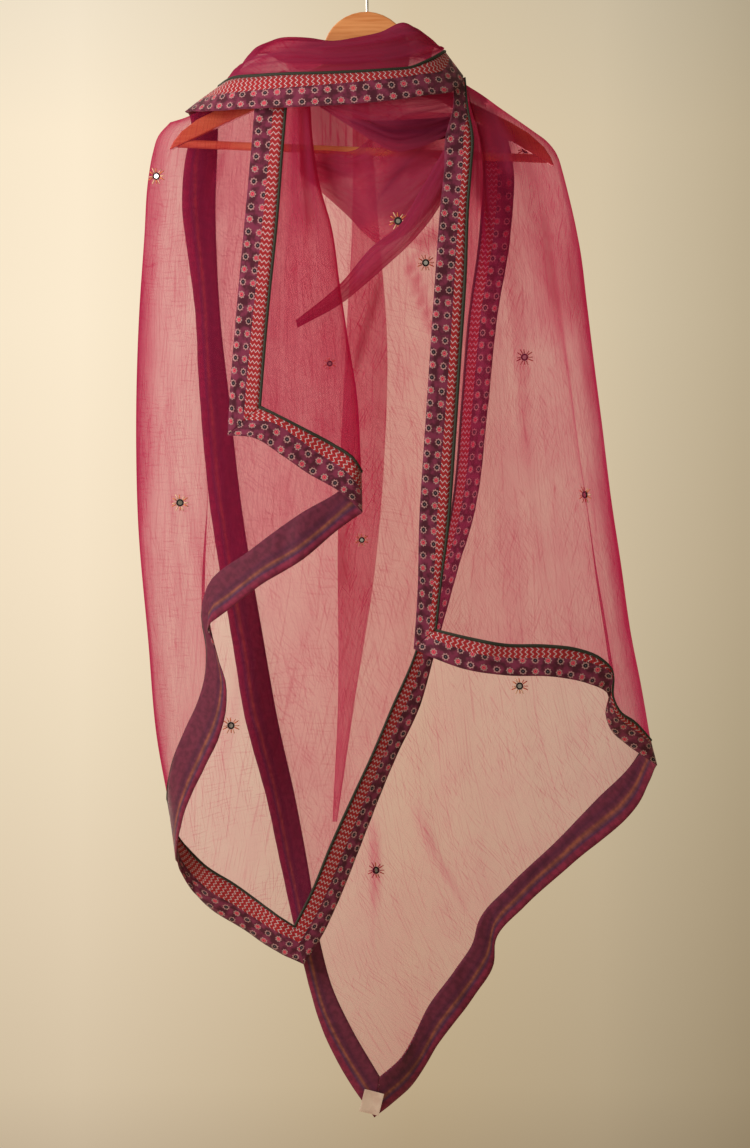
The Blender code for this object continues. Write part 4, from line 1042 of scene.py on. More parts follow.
@dataclass
class PanelForm:
    """A hanging stretch of cloth between four lines. Lengths are in centimetres.

    swell is how far its middle stands out at each side, reach how far in from each side it rounds (less
    than 0 for a seam), folds its deepest folds by their shares and depths, and threads where its four
    corners lie in the flat cloth. plies is its layers, and fold_plies how many more lie at its folds.
    """

    top: tuple[Run, ...]
    bottom: Rail
    left: Rail
    right: Rail
    swell: Spot
    reach: Spot
    folds: tuple[Spot, ...]
    threads: tuple[Spot, ...]
    size: tuple[int, int]
    pleats: tuple[Pleats, ...] = ()
    creases: tuple[Crease, ...] = ()
    gathers: tuple[Gather, ...] = ()
    plies: float = 1.0
    fold_plies: float = 0.6
    fold_width: float = 1.8
    swell_change: float = 4.0
    hold: float = 4.0
    column_shares: np.ndarray = field(init=False)
    row_shares: np.ndarray = field(init=False)

    def __post_init__(self) -> None:
        """Sets where the columns and rows of the grid lie."""
        self.column_shares = shares(self.size[0], 0.85)
        self.row_shares = shares(self.size[1], 0.45)

    def top_line(self) -> tuple[Grid, np.ndarray, np.ndarray]:
        """Follows the runs of the top.

        Returns:
            Its places, how far down each rounds, and how much of a fold each is.
        """
        u = self.column_shares
        places = np.zeros((len(u), 3))
        begun = 0.0
        knots, reaches, fold = [], [], []
        for number, run in enumerate(self.top):
            columns, along = list(run.columns), list(run.shares)
            knots += columns
            reaches += [abs(run.reach)] * len(columns)
            fold += [1.0 if run.reach > 0 else 0.0] * len(columns)
            if number:
                columns, along = [begun, *columns], [0.0, *along]
            here = (u >= columns[0] - 1e-9) & (u <= columns[-1] + 1e-9)
            places[here] = run.rail.at(np.interp(u[here], columns, along))
            begun = columns[-1]
        return places, np.interp(u, knots, reaches), np.interp(u, knots, fold)

    def spread(self, top: Grid) -> Grid:
        """Spreads the grid between its four lines, its depth following the two sides.

        Args:
            top: the top's places.

        Returns:
            The grid.
        """
        left, right = self.left.at(self.row_shares), self.right.at(self.row_shares)
        bottom = self.bottom.at(self.column_shares)
        u = self.column_shares[None, :, None]
        v = self.row_shares[:, None, None]
        ruled = (1 - u) * left[:, None] + u * right[:, None]
        to_top, to_bottom = top[None] - ruled[:1], bottom[None] - ruled[-1:]
        grid = ruled + (1 - v) * to_top + v * to_bottom
        near_top, near_bottom = (1 - v[:, :, 0]) ** self.hold, v[:, :, 0] ** self.hold
        grid[:, :, 1] = ruled[:, :, 1] + near_top * to_top[:, :, 1] + near_bottom * to_bottom[:, :, 1]
        return grid

    def sides(self, grid: Grid) -> list[tuple[np.ndarray, float]]:
        """Measures the cloth across.

        Args:
            grid: the cloth.

        Returns:
            For the left and the right side, each point's distance from it and its reach.
        """
        widths = np.linalg.norm(grid[:, -1] - grid[:, 0], axis=1)
        across = (self.column_shares, 1 - self.column_shares)
        return [(np.outer(widths, share), far) for share, far in zip(across, self.reach)]

    def come_round(self, grid: Grid, reaches: np.ndarray, fold: np.ndarray) -> np.ndarray:
        """Works out how far each point has come round from the folds and seams.

        Args:
            grid: the cloth.
            reaches: how far down each column rounds.
            fold: how much of a fold the top of each column is.

        Returns:
            The share of its swell that each point has, 0 on a fold or seam.
        """
        heights = np.linalg.norm(grid[-1] - grid[0], axis=1)
        share, lift = np.ones(grid.shape[:2]), np.ones(grid.shape[:2])
        for distance, far in self.sides(grid):
            near = np.minimum(1, distance / abs(far))
            if far > 0:
                share = np.minimum(share, near)
            else:
                lift *= np.sin(math.pi / 2 * near)
        near = np.minimum(1, np.outer(self.row_shares, heights) / reaches)
        share = np.minimum(share, 1 - fold * (1 - near))
        lift *= 1 - (1 - fold) * (1 - np.sin(math.pi / 2 * near))
        return lift * np.sqrt(1 - (1 - share) ** 2)

    def calm(self, grid: Grid) -> np.ndarray:
        """Works out how free each point is to ripple.

        Args:
            grid: the cloth.

        Returns:
            Shares from 0, on folds and at the top, to 1.
        """
        free = np.ones(grid.shape[:2])
        for distance, far in self.sides(grid):
            if far > 0:
                free *= ease(0.0, min(far, 3.0), distance)
        return free * ease(0.0, 0.05, self.row_shares)[:, None]

    def grid(self) -> Grid:
        """Builds the cloth with its folds, pleats and creases pressed in.

        Returns:
            Its places in rows and columns.
        """
        top, reaches, fold = self.top_line()
        grid = self.spread(top)
        u, v = self.column_shares, self.row_shares
        swell = self.swell[0] + (self.swell[1] - self.swell[0]) * u**self.swell_change
        grid[:, :, 1] += swell[None] * self.come_round(grid, reaches, fold)
        knots = np.array([place for place, _ in self.folds])
        backs = np.array([[back] for _, back in self.folds])
        fading = np.sin(math.pi * np.clip(v, 0.0, 1.0)) ** 0.5
        grid[:, :, 1] += np.outer(fading, smooth_path(backs, knots, u)[:, 0])
        flat = grid[:, :, 1].copy()
        moved = grid.copy()
        for pleats in self.pleats:
            moved[:, :, 1] += pleats.back(u[None, :], v[:, None])
        for crease in self.creases:
            crease.press(moved)
        grid[:, :, 1] = flat + self.calm(grid) * (moved[:, :, 1] - flat)
        return grid

    def layers(self, grid: Grid) -> np.ndarray:
        """Counts the layers of cloth.

        Args:
            grid: the cloth.

        Returns:
            How many lie at each point.
        """
        layers = np.full(grid.shape[:2], self.plies)
        for pleats in self.pleats:
            layers += pleats.thicken(self.column_shares[None, :], self.row_shares[:, None])
        for gather in self.gathers:
            gather.add(grid, layers)
        for distance, far in self.sides(grid):
            if far > 0:
                layers += self.fold_plies * np.exp(-((distance / self.fold_width) ** 2))
        return layers

    def thread_map(self) -> Grid:
        """Lays the cloth out flat.

        Returns:
            Where each point lies, across and along the threads.
        """
        top_left, top_right, bottom_left, bottom_right = (np.array(corner) for corner in self.threads)
        u = self.column_shares[None, :, None]
        v = self.row_shares[:, None, None]
        upper = (1 - u) * top_left + u * top_right
        lower = (1 - u) * bottom_left + u * bottom_right
        return (1 - v) * upper + v * lower


@dataclass
class LoftForm:
    """A stretch of cloth through lines that lie side by side, rolled forward by so many centimetres."""

    rails: tuple[Rail, ...]
    size: tuple[int, int]
    roll: float = 0.0
    pleats: tuple[Pleats, ...] = ()
    gathers: tuple[Gather, ...] = ()
    plies: float = 1.0

    def shares(self) -> tuple[np.ndarray, np.ndarray]:
        """Gives the shares along the lines and across them."""
        return shares(self.size[0]), shares(self.size[1], 0.5)

    def grid(self) -> Grid:
        """Builds the cloth with its pleats pressed in.

        Returns:
            Its places, one column for each share of the lines' length.
        """
        along, rows = self.shares()
        lines = np.array([rail.at(along) for rail in self.rails])
        knots = np.linspace(0.0, 1.0, len(lines))
        columns = [smooth_path(lines[:, j], knots, rows) for j in range(len(along))]
        grid = np.stack(columns, axis=1)
        grid[:, :, 1] -= self.roll * (np.sin(math.pi * rows) ** 0.7)[:, None]
        u, v = along[None, :], rows[:, None]
        out = normals_of(grid)
        free = (ease(0.0, 0.15, v) * ease(0.0, 0.15, 1 - v))[:, :, None]
        for pleats in self.pleats:
            grid = grid + out * free * pleats.back(v, u)[:, :, None]
        return grid

    def layers(self, grid: Grid) -> np.ndarray:
        """Counts the layers of cloth.

        Args:
            grid: the cloth.

        Returns:
            How many lie at each point.
        """
        along, rows = self.shares()
        layers = np.full(grid.shape[:2], self.plies)
        for pleats in self.pleats:
            layers += pleats.thicken(rows[:, None], along[None, :])
        for gather in self.gathers:
            gather.add(grid, layers)
        return layers

    def thread_map(self) -> Grid:
        """Lays the cloth out flat.

        Returns:
            Where each point lies, across and along the threads.
        """
        along, rows = self.shares()
        wide = float(np.linalg.norm(self.rails[-1].at([0.5]) - self.rails[0].at([0.5])))
        u, v = np.meshgrid(along * self.rails[0].length, rows * wide)
        return np.stack((v, u), axis=2)


# ---- building pieces ---------------------------------------------------------------------------


def make_piece(name: str, points: Grid, faces: Faces, materials: Sequence[Material]) -> Piece:
    """Makes a smooth mesh object.

    Args:
        name: its name.
        points: its places, in centimetres.
        faces: its faces, by the numbers of their points.
        materials: its materials.

    Returns:
        The object.
    """
    mesh = bpy.data.meshes.new(name)
    mesh.from_pydata((points.reshape(-1, 3) * CM).tolist(), [], faces)
    for material in materials:
        mesh.materials.append(material)
    mesh.polygons.foreach_set("use_smooth", [True] * len(mesh.polygons))
    piece = bpy.data.objects.new(name, mesh)
    bpy.context.scene.collection.objects.link(piece)
    return piece


def lay_map(piece: Piece, name: str, places: Grid) -> None:
    """Gives a mesh a UV map.

    Args:
        piece: the mesh's object.
        name: the map's name.
        places: where each of its points lies in the map.
    """
    mesh = piece.data
    corners = np.empty(len(mesh.loops), dtype=np.int32)
    mesh.loops.foreach_get("vertex_index", corners)
    layer = mesh.uv_layers.new(name=name)
    layer.data.foreach_set("uv", places.reshape(-1, 2)[corners].ravel())


def note(piece: Piece, name: str, values: np.ndarray) -> None:
    """Gives a mesh a number at each of its points."""
    piece.data.attributes.new(name, "FLOAT", "POINT").data.foreach_set("value", values.ravel())


def placed(piece: Piece, node: str) -> Piece:
    """Lets a piece ride on the part and stand for one of its solids.

    Args:
        piece: the finished piece.
        node: the solid that it stands for.

    Returns:
        The piece.
    """
    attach(piece, "root")
    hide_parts(node)
    return piece


def sheet_faces(rows: int, columns: int, start: int = 0, flip: bool = False) -> Faces:
    """Lists the four-sided faces of a grid of points.

    Args:
        rows: how many rows of points.
        columns: how many points in a row.
        start: the first point's number.
        flip: whether the faces are turned over.

    Returns:
        The faces.
    """
    faces = []
    for i in range(rows - 1):
        for j in range(columns - 1):
            near = start + i * columns + j
            face = (near, near + 1, near + columns + 1, near + columns)
            faces.append(face[::-1] if flip else face)
    return faces


def rim_faces(rows: int, columns: int, flip: bool) -> Faces:
    """Lists the faces that join two grids of points all round.

    Args:
        rows: how many rows of points each has.
        columns: how many points in a row.
        flip: whether the faces are turned over.

    Returns:
        The faces.
    """
    loop = list(range(columns))
    loop += [i * columns + columns - 1 for i in range(1, rows)]
    loop += [(rows - 1) * columns + j for j in range(columns - 2, -1, -1)]
    loop += [i * columns for i in range(rows - 2, 0, -1)]
    other = rows * columns
    faces = [(a, a + other, b + other, b) for a, b in zip(loop, loop[1:] + loop[:1])]
    return [face[::-1] for face in faces] if flip else faces


@dataclass
class SheerCloth:
    """One stretch of the sheer cloth, with its cut laid flat in metres.

    front_lean is how far a motif on it is eased to the front.
    """

    node: str
    form: PanelForm | LoftForm
    flat: Spot
    area: float
    rests_on: str
    held: str
    front_lean: float = 0.8
    grid: Grid = field(init=False)

    def build(self, finish: Material) -> Piece:
        """Makes the sheet and lets it stand for its solid.

        Args:
            finish: its material.

        Returns:
            The sheet.
        """
        self.grid = self.form.grid()
        rows, columns = self.grid.shape[:2]
        piece = make_piece(self.node + "_sheer", self.grid, sheet_faces(rows, columns, flip=True), [finish])
        lay_map(piece, "threads", self.form.thread_map())
        note(piece, "layers", self.form.layers(self.grid))
        return placed(piece, self.node)

    def place_at(self, across: float, height: float) -> tuple[np.ndarray, np.ndarray]:
        """Finds where a motif is sewn.

        Args:
            across: how far across it is.
            height: how high it is.

        Returns:
            The nearest place of the sheet, and the way a motif faces there, a little eased to the front.
        """
        away = (self.grid[:, :, 0] - across) ** 2 + (self.grid[:, :, 2] - height) ** 2
        i, j = np.unravel_index(int(away.argmin()), away.shape)
        normal = normals_of(self.grid)[i, j]
        normal = (normal if normal[1] < 0 else -normal) - np.array((0.0, self.front_lean, 0.0))
        return self.grid[i, j], normal / np.linalg.norm(normal)


@dataclass
class Border:
    """The printed border along one side of a stretch, with its piping. Lengths are in centimetres.

    The outer and inner lines run the same way. start_at is how far along the print begins, and field_start
    how far in from the outer edge its zigzags do. A border with no side lies on its own lines.
    """

    name: str
    cloth: str
    side: Side | None
    outer: Rail
    inner: Rail
    print_in_front: bool
    start_at: float = 0.0
    field_start: float = 2.05
    stations: int = 160
    across: int = 8
    thickness: float = 0.07
    piping_width: float = 0.36
    piping_height: float = 0.17
    piping_sides: int = 8
    ripple: float = 0.05
    ripple_rate: float = 1.0

    def lines(self, cloth: SheerCloth) -> tuple[Grid, Grid]:
        """Finds the border's two long edges.

        Args:
            cloth: the stretch that it is sewn to.

        Returns:
            The outer and the inner line.
        """
        if self.side is None:
            at = shares(self.stations)
            return self.outer.at(at), self.inner.at(at)
        at = self.side.shares_in(cloth.form)
        seam = self.side.of(cloth.grid)
        return seam + self.outer.at(at) - self.inner.at(at), seam

    def lengthwise(self, outer: Grid, inner: Grid) -> tuple[np.ndarray, np.ndarray]:
        """Measures along the border, mitres included.

        Args:
            outer: its outer line.
            inner: its inner line.

        Returns:
            How far along each place of the outer and of the inner line is.
        """
        middle = (outer + inner) / 2
        steps = np.linalg.norm(np.diff(middle, axis=0), axis=1)
        run = np.concatenate(([0.0], np.cumsum(steps))) + self.start_at
        tangent = np.gradient(middle, axis=0)
        tangent /= np.maximum(np.linalg.norm(tangent, axis=1, keepdims=True), 1e-9)
        lean = ((outer - middle) * tangent).sum(axis=1)
        return run + lean, run - lean

    def build(self, cloth: SheerCloth, finishes: dict[str, Material]) -> list[Piece]:
        """Makes the border and its piping.

        Args:
            cloth: the stretch that they are sewn to, already built.
            finishes: the materials by name.

        Returns:
            The two pieces.
        """
        outer, inner = self.lines(cloth)
        seam_share = self.piping_width / np.linalg.norm(outer - inner, axis=1).mean()
        piping_seam = inner + (outer - inner) * seam_share
        seam = piping_seam if self.print_in_front else inner
        share = np.linspace(0.0, 1.0, self.across + 1)[None, :]
        middle = outer[:, None] * (1 - share[:, :, None]) + seam[:, None] * share[:, :, None]
        out = normals_of(middle)
        at_outer, at_inner = self.lengthwise(outer, inner)
        u = at_outer[:, None] * (1 - share) + at_inner[:, None] * share
        v = share * np.linalg.norm(outer - seam, axis=1)[:, None]
        turn = u * self.ripple_rate
        waves = np.sin(turn * 1.9 + 0.7 * np.sin(turn * 0.31)) * 0.6 + np.sin(turn * 0.83 + 1.0) * 0.4
        middle = middle + out * (self.ripple * waves * ease(0.0, 1.0, 1 - share))[:, :, None]
        border = self.shell(middle, out, np.stack((u, v), axis=2), finishes)
        return [border, self.piping(inner, piping_seam, finishes["piping"])]

    def shell(self, middle: Grid, out: Grid, places: Grid, finishes: dict[str, Material]) -> Piece:
        """Makes the border as a thin closed shell, print on one side and reverse on the other.

        Args:
            middle: its middle surface.
            out: the normals there.
            places: where each point lies along and across the strip.
            finishes: the materials by name.

        Returns:
            The border.
        """
        front_sign = -1.0 if out[:, :, 1].mean() > 0 else 1.0
        lift = out * front_sign * self.thickness / 2
        rows, columns = middle.shape[:2]
        turned = front_sign > 0
        faces = sheet_faces(rows, columns, 0, not turned)
        faces += sheet_faces(rows, columns, rows * columns, turned)
        faces += rim_faces(rows, columns, not turned)
        points = np.stack((middle + lift, middle - lift))
        piece = make_piece(self.name + "_border", points, faces, [finishes["print"], finishes["reverse"]])
        slots = np.zeros(len(faces), dtype=np.int32)
        slots[(rows - 1) * (columns - 1) :] = 1
        piece.data.polygons.foreach_set("material_index", slots if self.print_in_front else 1 - slots)
        lay_map(piece, "strip", np.stack((places, places)))
        note(piece, "field", np.full(len(piece.data.vertices), self.field_start))
        return placed(piece, "border_" + self.name)

    def piping(self, inner: Grid, seam: Grid, finish: Material) -> Piece:
        """Makes the rounded piping between the border and the sheer cloth, on the printed side.

        Args:
            inner: the line along the sheer cloth.
            seam: the line along the border.
            finish: its material.

        Returns:
            The piping.
        """
        behind = 0.0 if self.print_in_front else self.piping_height
        middle = (inner + seam) / 2 + np.array((0.0, behind, 0.0))
        across = (inner - seam) / 2
        out = np.cross(np.gradient(middle, axis=0), across)
        out /= np.maximum(np.linalg.norm(out, axis=1, keepdims=True), 1e-9)
        turns = np.linspace(0.0, 2 * math.pi, self.piping_sides + 1)[:-1]
        rings = [middle + across * math.cos(t) + out * self.piping_height * math.sin(t) for t in turns]
        points = np.stack(rings, axis=1)
        count, sides = points.shape[:2]
        faces = []
        for start in range(0, (count - 1) * sides, sides):
            for j in range(sides):
                after = start + (j + 1) % sides
                faces.append((start + j, after, after + sides, start + j + sides))
        faces += [tuple(range(sides - 1, -1, -1)), tuple((count - 1) * sides + j for j in range(sides))]
        piece = make_piece(self.name + "_piping", points, faces, [finish])
        turn_outwards(piece)
        return placed(piece, "piping_" + self.name)


def turn_outwards(piece: Piece) -> None:
    """Points the faces of a closed mesh outwards.

    Args:
        piece: the mesh's object.
    """
    mesh = bmesh.new()
    mesh.from_mesh(piece.data)
    bmesh.ops.recalc_face_normals(mesh, faces=mesh.faces[:])
    mesh.to_mesh(piece.data)
    mesh.free()


# ---- small pieces ------------------------------------------------------------------------------


def start_clean() -> None:
    """Leaves nothing selected."""
    bpy.ops.object.select_all(action="DESELECT")


def settle(piece: Piece) -> Piece:
    """Applies a piece's place, turn and size to its mesh.

    Args:
        piece: the piece.

    Returns:
        The same piece, at the origin.
    """
    start_clean()
    piece.select_set(True)
    bpy.context.view_layer.objects.active = piece
    bpy.ops.object.transform_apply(location=True, rotation=True, scale=True)
    return piece


def join(pieces: Sequence[Piece], name: str) -> Piece:
    """Joins pieces into one.

    Args:
        pieces: the pieces.
        name: the name of the one they become.

    Returns:
        The joined piece.
    """
    start_clean()
    for piece in pieces:
        piece.select_set(True)
    bpy.context.view_layer.objects.active = pieces[0]
    bpy.ops.object.join()
    joined = bpy.context.view_layer.objects.active
    joined.name = name
    joined.data.name = name
    return joined


@dataclass(frozen=True)
class SewnMirror:
    """Where a sun motif is sewn, in centimetres, how large it is, and how far it stands off the cloth."""

    node: str
    across: float
    height: float
    size: float = 1.0
    lift: float = 0.0


@dataclass
class SunMotif:
    """A small mirror in a stitched ring, with stitches round it like a sun's rays. Sizes in centimetres."""

    mirror_radius: float = 0.24
    mirror_sides: int = 24
    bevel: float = 0.012
    ring_radius: float = 0.32
    thread_radius: float = 0.09
    rays: int = 12
    ray_start: float = 0.44
    ray_end: float = 0.92
    ray_root: float = 0.070
    ray_tip: float = 0.050
    thickness: float = 0.05
    stand_off: float = 0.05

    def disc(self, finish: Material) -> Piece:
        """Makes the mirror, its edge bevelled.

        Args:
            finish: its material.

        Returns:
            The mirror.
        """
        start_clean()
        bpy.ops.mesh.primitive_cylinder_add(
            vertices=self.mirror_sides, radius=self.mirror_radius * CM, depth=self.thickness * CM
        )
        disc = bpy.context.object
        bpy.ops.object.mode_set(mode="EDIT")
        bpy.ops.mesh.select_all(action="SELECT")
        bpy.ops.mesh.bevel(offset=self.bevel * CM, segments=2)
        bpy.ops.object.mode_set(mode="OBJECT")
        disc.data.materials.append(finish)
        return disc

    def ring(self, finish: Material) -> Piece:
        """Makes the thick ring of thread that holds the mirror.

        Args:
            finish: its material.

        Returns:
            The ring.
        """
        start_clean()
        bpy.ops.mesh.primitive_torus_add(
            major_radius=self.ring_radius * CM,
            minor_radius=self.thread_radius * CM,
            major_segments=36,
            minor_segments=8,
        )
        ring = bpy.context.object
        ring.data.materials.append(finish)
        bpy.ops.object.shade_smooth()
        return ring

    def ray(self, number: int, finish: Material) -> Piece:
        """Makes one stitch of a ray, tapered, and a little uneven in its place and length.

        Args:
            number: which ray it is.
            finish: its material.

        Returns:
            The ray.
        """
        angle = 2 * math.pi * number / self.rays + 0.1 * math.sin(number * 2.4)
        reach = self.ray_end * (1.0 + 0.10 * math.sin(number * 1.9))
        middle = (self.ray_start + reach) / 2 * CM
        start_clean()
        bpy.ops.mesh.primitive_cone_add(
            vertices=8,
            radius1=self.ray_root * CM,
            radius2=self.ray_tip * CM,
            depth=(reach - self.ray_start) * CM,
            location=(middle * math.cos(angle), middle * math.sin(angle), 0.0),
            rotation=(0.0, math.pi / 2, angle),
        )
        ray = bpy.context.object
        ray.data.materials.append(finish)
        bpy.ops.object.shade_smooth()
        return settle(ray)

    def build(self, finishes: dict[str, Material]) -> Piece:
        """Makes the motif flat, facing up, ready to be copied.

        Args:
            finishes: the materials by name.

        Returns:
            The flat motif.
        """
        parts = [self.disc(finishes["mirror"]), self.ring(finishes["ink thread"])]
        threads = [finishes["peach thread"], finishes["rust thread"]]
        parts += [self.ray(number, threads[number % 2]) for number in range(self.rays)]
        return join(parts, "sun_motif_pattern")

    def sew(self, pattern: Piece, name: str, spot: SewnMirror, cloth: SheerCloth) -> Piece:
        """Copies the motif on to the cloth.

        Args:
            pattern: the flat motif.
            name: the copy's name.
            spot: where it is sewn.
            cloth: the stretch that it is sewn to.

        Returns:
            The copy.
        """
        copy = bpy.data.objects.new(name, pattern.data.copy())
        bpy.context.scene.collection.objects.link(copy)
        place, normal = cloth.place_at(spot.across, spot.height)
        side = np.cross(np.array((0.0, 0.0, 1.0)), normal)
        side /= np.linalg.norm(side)
        top = np.cross(normal, side)
        corners = np.empty(len(copy.data.vertices) * 3)
        copy.data.vertices.foreach_get("co", corners)
        flat = corners.reshape(-1, 3) * spot.size
        away = (place + spot.lift * normal + normal * self.stand_off) * CM
        moved = flat[:, :1] * side + flat[:, 1:2] * top + flat[:, 2:] * normal + away
        copy.data.vertices.foreach_set("co", moved.ravel())
        copy.data.update()
        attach(copy, "root")
        return copy


@dataclass
class Label:
    """The bare woven label at the lowest corner, a little cupped. Sizes in centimetres."""

    width: float = 2.2
    height: float = 2.5
    thickness: float = 0.09
    turn: float = math.radians(14)
    centre: Triple = (0.5, 5.2, -126.0)
    cuts: int = 8
    cup: float = 0.06
    edge: float = 0.03

    def build(self, finish: Material) -> Piece:
        """Makes the label as a thin pad with soft edges.

        Args:
            finish: its material.

        Returns:
            The label.
        """
        start_clean()
        place = tuple(value * CM for value in self.centre)
        bpy.ops.mesh.primitive_cube_add(size=1.0, location=place, rotation=(0.0, self.turn, 0.0))
        label = bpy.context.object
        label.name = "woven_label"
        label.scale = (self.width * CM, self.thickness * CM, self.height * CM)
        settle(label)
        bpy.ops.object.mode_set(mode="EDIT")
        bpy.ops.mesh.select_all(action="SELECT")
        bpy.ops.mesh.subdivide(number_cuts=self.cuts)
        bpy.ops.object.mode_set(mode="OBJECT")
        for vertex in label.data.vertices:
            across = (vertex.co.x / CM - self.centre[0]) / self.width
            vertex.co.y += self.cup * CM * math.cos(across * 5.0)
        bevel = label.modifiers.new("soft edges", "BEVEL")
        bevel.width = self.edge * CM
        bevel.segments = 2
        bpy.ops.object.modifier_apply(modifier=bevel.name)
        bpy.ops.object.shade_smooth_by_angle(angle=math.radians(40))
        label.data.materials.append(finish)
        return placed(label, "label")


@dataclass
class Hanger:
    """The wooden hanger: its board and bar, and the wire hook."""

    wooden: tuple[str, ...] = ("hanger_board", "hanger_bar")
    wire: str = "hanger_hook"

    def dress(self, wood: Material, steel: Material) -> None:
        """Gives each solid its finish.

        Args:
            wood: the board's and the bar's.
            steel: the hook's.
        """
        for name in self.wooden:
            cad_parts[name].material_slots[0].material = wood
        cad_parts[self.wire].material_slots[0].material = steel


# ---- the studio --------------------------------------------------------------------------------


@dataclass(frozen=True)
class Lamp:
    """A soft square light. Lengths in metres, power in watts."""

    name: str
    place: Triple
    aim: Triple
    size: float
    power: float
    colour: str = "fff0e4"

    def hang(self) -> None:
        """Puts it in the room, turned to its aim and unseen by the camera."""
        data = bpy.data.lights.new(self.name, "AREA")
        data.size = self.size
        data.energy = self.power
        data.color = linear(self.colour)[:3]
        lamp = bpy.data.objects.new(self.name, data)
        lamp.location = self.place
        lamp.visible_camera = False
        way = np.array(self.aim) - np.array(self.place)
        lean = math.atan2(math.hypot(way[0], way[1]), -way[2])
        lamp.rotation_euler = (lean, 0.0, math.atan2(-way[0], way[1]))
        bpy.context.scene.collection.objects.link(lamp)


@dataclass
class Studio:
    """The camera, the soft light and the floor. Lengths in metres.

    The room is bright and warm from the left, and darker to the right, below and in front.
    """

    distance: float = 4.0
    middle: Spot = (0.0087, -0.678)
    tall: float = 1.248
    sensor: float = 36.0
    floor_height: float = -1.75
    floor_radius: float = 2.6
    lamps: tuple[Lamp, ...] = (
        Lamp("key", (-1.0, -0.85, -0.15), (0.0, 0.0, -0.5), 0.9, 16.5),
        Lamp("back", (-0.8, 2.2, -0.3), (0.0, 0.0, -0.6), 2.2, 30.0),
    )
    from_left: Stops = (
        (0.0, "f9e8cc"), (0.10, "fcebcf"), (0.30, "f0dec0"), (0.55, "e0ccaa"), (0.80, "d5c4a6"),
        (0.87, "ccbc9f"), (0.94, "c4b497"), (1.0, "bcac8f"),
    )
    from_below: Stops = (
        (0.0, "c8c2bb"), (0.06, "d7d2cb"), (0.22, "e5e1dc"), (0.36, "efede9"), (0.50, "f8f6f4"),
        (0.72, "ffffff"), (0.88, "ffffff"), (1.0, "f4f6f9"),
    )
    side_span: float = 0.1
    height_span: float = 0.156
    front_strength: float = 0.48
    front_end: float = 0.7

    def place_camera(self) -> None:
        """Puts the camera level, in front of the middle of the cloth."""
        data = bpy.data.cameras.new("camera")
        data.sensor_width = self.sensor
        data.lens = data.sensor_width * self.distance / self.tall
        camera = bpy.data.objects.new("camera", data)
        camera.location = (self.middle[0], -self.distance, self.middle[1])
        camera.rotation_euler = (math.pi / 2, 0.0, 0.0)
        bpy.context.scene.collection.objects.link(camera)
        bpy.context.scene.camera = camera

    def light_room(self) -> None:
        """Colours the room's walls by the way one looks."""
        world = bpy.data.worlds.new("soft_room")
        world.use_nodes = True
        tree = world.node_tree
        tree.nodes.clear()
        parts = add_node(tree, "PARTS", add_node(tree, "WAY")).node.outputs
        side = add_node(tree, "SPAN", parts[0], -self.side_span, self.side_span)
        height = add_node(tree, "SPAN", parts[2], -self.height_span, self.height_span)
        sides = add_node(tree, "RAMP", side, stops=self.from_left)
        heights = add_node(tree, "RAMP", height, stops=self.from_below)
        strength = add_node(tree, "SPAN", parts[1], 0.0, self.front_end, self.front_strength)
        glow = add_node(tree, "BACKGROUND", add_node(tree, "TINT", 1.0, sides, heights), strength)
        add_node(tree, "WORLD", glow)
        bpy.context.scene.world = world

    def lay_floor(self, finish: Material) -> None:
        """Lays a round floor well below the cloth.

        Args:
            finish: its material.
        """
        start_clean()
        bpy.ops.mesh.primitive_circle_add(
            vertices=96, radius=self.floor_radius, fill_type="NGON", location=(0.0, 0.0, self.floor_height)
        )
        floor = bpy.context.object
        floor.name = "floor"
        floor.data.materials.append(finish)

    def build(self) -> None:
        """Sets up the whole studio."""
        self.place_camera()
        self.light_room()
        for lamp in self.lamps:
            lamp.hang()
        self.lay_floor(FloorFinish().make())
        bpy.context.scene.view_settings.view_transform = "Standard"


# ---- the stole ---------------------------------------------------------------------------------


# How far along a ridge each of its top's columns lies, closer together at the ends.
RETURN_RIDGE = (0.0, 0.01, 0.07, 0.2, 0.4, 0.6, 0.8, 1.0)
SHOULDER = (0.0, 0.2, 0.4, 0.6, 0.8, 0.93, 0.99, 1.0)

